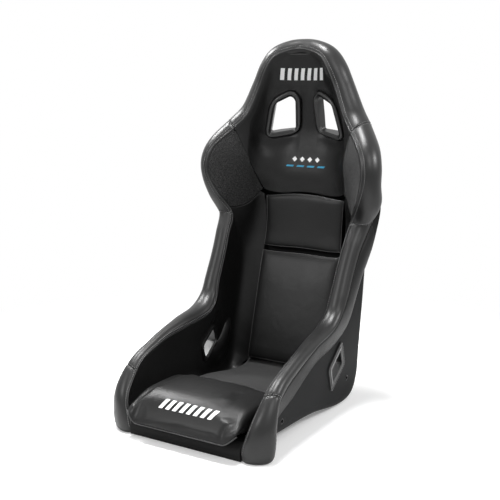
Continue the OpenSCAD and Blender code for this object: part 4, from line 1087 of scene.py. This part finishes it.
roll_cord, hem_cord = 0.9, 1.1
flips = ([1, 1, 1], [-1, 1, 1])
cords = [cord(seam_line(u0 + 0.02, u1 - 0.02, 360, 6, 0.2, flip), roll_cord)
         for flip in flips for u0, u1 in ((0.5, waist_seam), (waist_seam, 24.9))]
cords += [cord(path, hem_cord) for path in welts]
hem = thigh_rings[4:-4, np.argmax(profile[:, 0] - profile[:, 1])]
cords.append(cord(hem + [0, -0.3, 0.5], hem_cord))
# a grey several times lighter than the roll vinyl, a painted highlight along each seam
welt_painted_highlight = leather("welt_painted_highlight", 0.02, 0.035, 0.36, 0.5, depth=0.2)
shape = bmesh.new()
for rings in cords:
    part = tube("cord", rings, welt_painted_highlight)
    shape.from_mesh(part.data)
    bpy.data.objects.remove(part)
mesh = bpy.data.meshes.new("welts")
shape.to_mesh(mesh)
shape.free()
mesh.materials.append(welt_painted_highlight)
fixed(placed("welts", mesh), "vinyl")

# ---- Stitching ----
# Rows of thick grey thread that close the covers: beside the rolls' inner seams, over the cross
# seams, and along the bands' hems. Geometry Nodes lays one short stitch after another.
thread = mottled("grey_thread", grey(0.1), grey(0.22), 900, 2, 0.6, 0.2)[0]
stitch = {"Pitch": 0.0052, "Length": 0.004, "Thickness": 0.0014}
stretches = (0.5, front_seam, waist_seam, shoulder_seam, crown_rib)

rows = []
for flip in flips:
    rows += [seam_line(u0 + 0.03, u1 - 0.03, 200, 20, 0.25, flip) for u0, u1 in zip(stretches, stretches[1:])]
    for u in stretches[1:-1]:
        for side in (-0.055, 0.055):
            rows.append(arc_points(np.full(60, u + side), np.linspace(14, 172, 60), np.full(60, 0.1)) * flip)
    us = np.linspace(2.3, waist_seam - 0.1, 200)
    rows.append(shell_out(us, guide(BAND, us)[:, 0] - 5, np.full(200, 3.1)) * flip)

points, edges = [], []
for row in rows:
    edges += [(len(points) + i, len(points) + i + 1) for i in range(len(row) - 1)]
    points += ((row + SHIFT) * MM).tolist()
mesh = bpy.data.meshes.new("stitching")
mesh.from_pydata(points, edges, [])
stitching = placed("stitching", mesh)

tree = bpy.data.node_groups.new("stitch_row", "GeometryNodeTree")
for way in ("INPUT", "OUTPUT"):
    tree.interface.new_socket("Geometry", in_out=way, socket_type="NodeSocketGeometry")
named = {label: tree.interface.new_socket(label, in_out="INPUT", socket_type="NodeSocketFloat").identifier
         for label in stitch}
wire = Wire(tree)
group = wire.node("NodeGroupInput")
given = {label: group.other(label) for label in stitch}
curve = wire.node("GeometryNodeMeshToCurve", {"Mesh": group})
curve = wire.node("GeometryNodeResampleCurve", {"Curve": curve, "Length": given["Pitch"]}, mode="LENGTH")
ball = wire.node("GeometryNodeMeshUVSphere", {"Segments": 6, "Rings": 4, "Radius": 0.5})
size = wire.node("ShaderNodeCombineXYZ", {0: given["Length"], 1: given["Thickness"], 2: given["Thickness"]})
ball = wire.node("GeometryNodeTransform", {"Geometry": ball, "Scale": size})
tangent = wire.node("GeometryNodeInputTangent")
along = wire.node("FunctionNodeAlignRotationToVector", {"Vector": tangent}, axis="X")
uneven = wire.node("FunctionNodeRandomValue", {2: 0.88, 3: 1.08, "Seed": 7}, out=1, data_type="FLOAT")
laid = wire.node("GeometryNodeInstanceOnPoints",
                 {"Points": curve, "Instance": ball, "Rotation": along, "Scale": uneven})
laid = wire.node("GeometryNodeRealizeInstances", {"Geometry": laid})
laid = wire.node("GeometryNodeSetShadeSmooth", {"Geometry": laid})
laid = wire.node("GeometryNodeSetMaterial", {"Geometry": laid, "Material": thread})
tree.links.new(laid.socket, tree.nodes.new("NodeGroupOutput").inputs[0])
sewn = stitching.modifiers.new("stitches", "NODES")
sewn.node_group = tree
for label, value in stitch.items():
    sewn[named[label]] = value
stitches = bpy.data.meshes.new_from_object(stitching.evaluated_get(bpy.context.evaluated_depsgraph_get()))
stitching.modifiers.clear()
stitching.data = stitches
fixed(stitching, "vinyl")

# ---- Printed figures ----
# Flat prints on the covers, 0.3 mm thick: rows of slanted white bars on head and thigh, and
# small white rhombi with short blue bars on the chest.
ink_white = mottled("white_ink", grey(0.82), grey(0.94), 220, 3, 0.5, 0.2)[0]
ink_blue = mottled("blue_ink", (0.01, 0.2, 0.36, 1), (0.02, 0.28, 0.46, 1), 220, 3, 0.45, 0.2)[0]
ink_out, ink_in, cells = 0.3 * MM, 0.2 * MM, 8


def printed(name, cover, figures, middle, up, finish):
    """Figures laid on a cover: corner points in a plane at middle, thrown back along its normal."""
    right, up = Vector((1, 0, 0)), Vector(up).normalized()
    into = up.cross(right)
    shape = bmesh.new()
    shape.from_mesh(cover.data)
    tree = BVHTree.FromBMesh(shape)
    shape.free()
    shape = bmesh.new()
    for a, b, c, d in np.array(figures, float):
        rows = []
        for s in np.linspace(0, 1, cells + 1):
            for t in np.linspace(0, 1, cells + 1):
                p = mix(mix(a, b, s), mix(d, c, s), t)
                start = Vector(middle) + right * (p[0] * MM) + up * (p[1] * MM) - into * 0.1
                hit, normal = tree.ray_cast(start, into)[:2]
                normal = normal if normal.dot(into) < 0 else -normal
                rows.append((shape.verts.new(hit + normal * ink_out), shape.verts.new(hit - normal * ink_in)))
        at = lambda i, j, k: rows[i * (cells + 1) + j][k]
        for i in range(cells):
            for j in range(cells):
                shape.faces.new([at(i, j, 0), at(i + 1, j, 0), at(i + 1, j + 1, 0), at(i, j + 1, 0)])
                shape.faces.new([at(i, j + 1, 1), at(i + 1, j + 1, 1), at(i + 1, j, 1), at(i, j, 1)])
            for e, f in (((i, 0), (i + 1, 0)), ((i + 1, cells), (i, cells)),
                         ((0, i + 1), (0, i)), ((cells, i), (cells, i + 1))):
                shape.faces.new([at(*e, 1), at(*f, 1), at(*f, 0), at(*e, 0)])
    bmesh.ops.recalc_face_normals(shape, faces=shape.faces)
    for face in shape.faces:
        face.smooth = True
    mesh = bpy.data.meshes.new(name)
    shape.to_mesh(mesh)
    shape.free()
    mesh.materials.append(finish)
    mesh.set_sharp_from_angle(angle=math.radians(40))
    fixed(placed(name, mesh), "vinyl")


def bar(x, y, wide, high, lean=0.0):
    """A slanted bar with its lower left corner at x, y."""
    return [[x, y], [x + wide, y], [x + wide + lean, y + high], [x + lean, y + high]]


pitch, upright = 18.5, (0, 0.1, 1)
head_at, chest_at, thigh_at = (0, 0, 0.826), (0, 0, 0.612), (0, -0.27, 0.08)
bars = [bar(-64 + pitch * i, -14, 10, 28, 9) for i in range(7)]
printed("head_print", panel, bars, head_at, upright, ink_white)
bars = [bar(-66 + pitch * i, -12, 10, 24, 10) for i in range(8)]
printed("thigh_print", thigh, bars, thigh_at, (0, 0.62, 0.78), ink_white)
rhombi = [[[x, -7], [x + 7, 0], [x, 7], [x - 7, 0]] for x in (-33, -11, 11, 33)]
printed("chest_print", panel, rhombi, chest_at, upright, ink_white)
bars = [bar(x, -20, 20, 4.5, 3) for x in (-56, -26, 4, 34)]
printed("chest_print_blue", panel, bars, chest_at, upright, ink_blue)
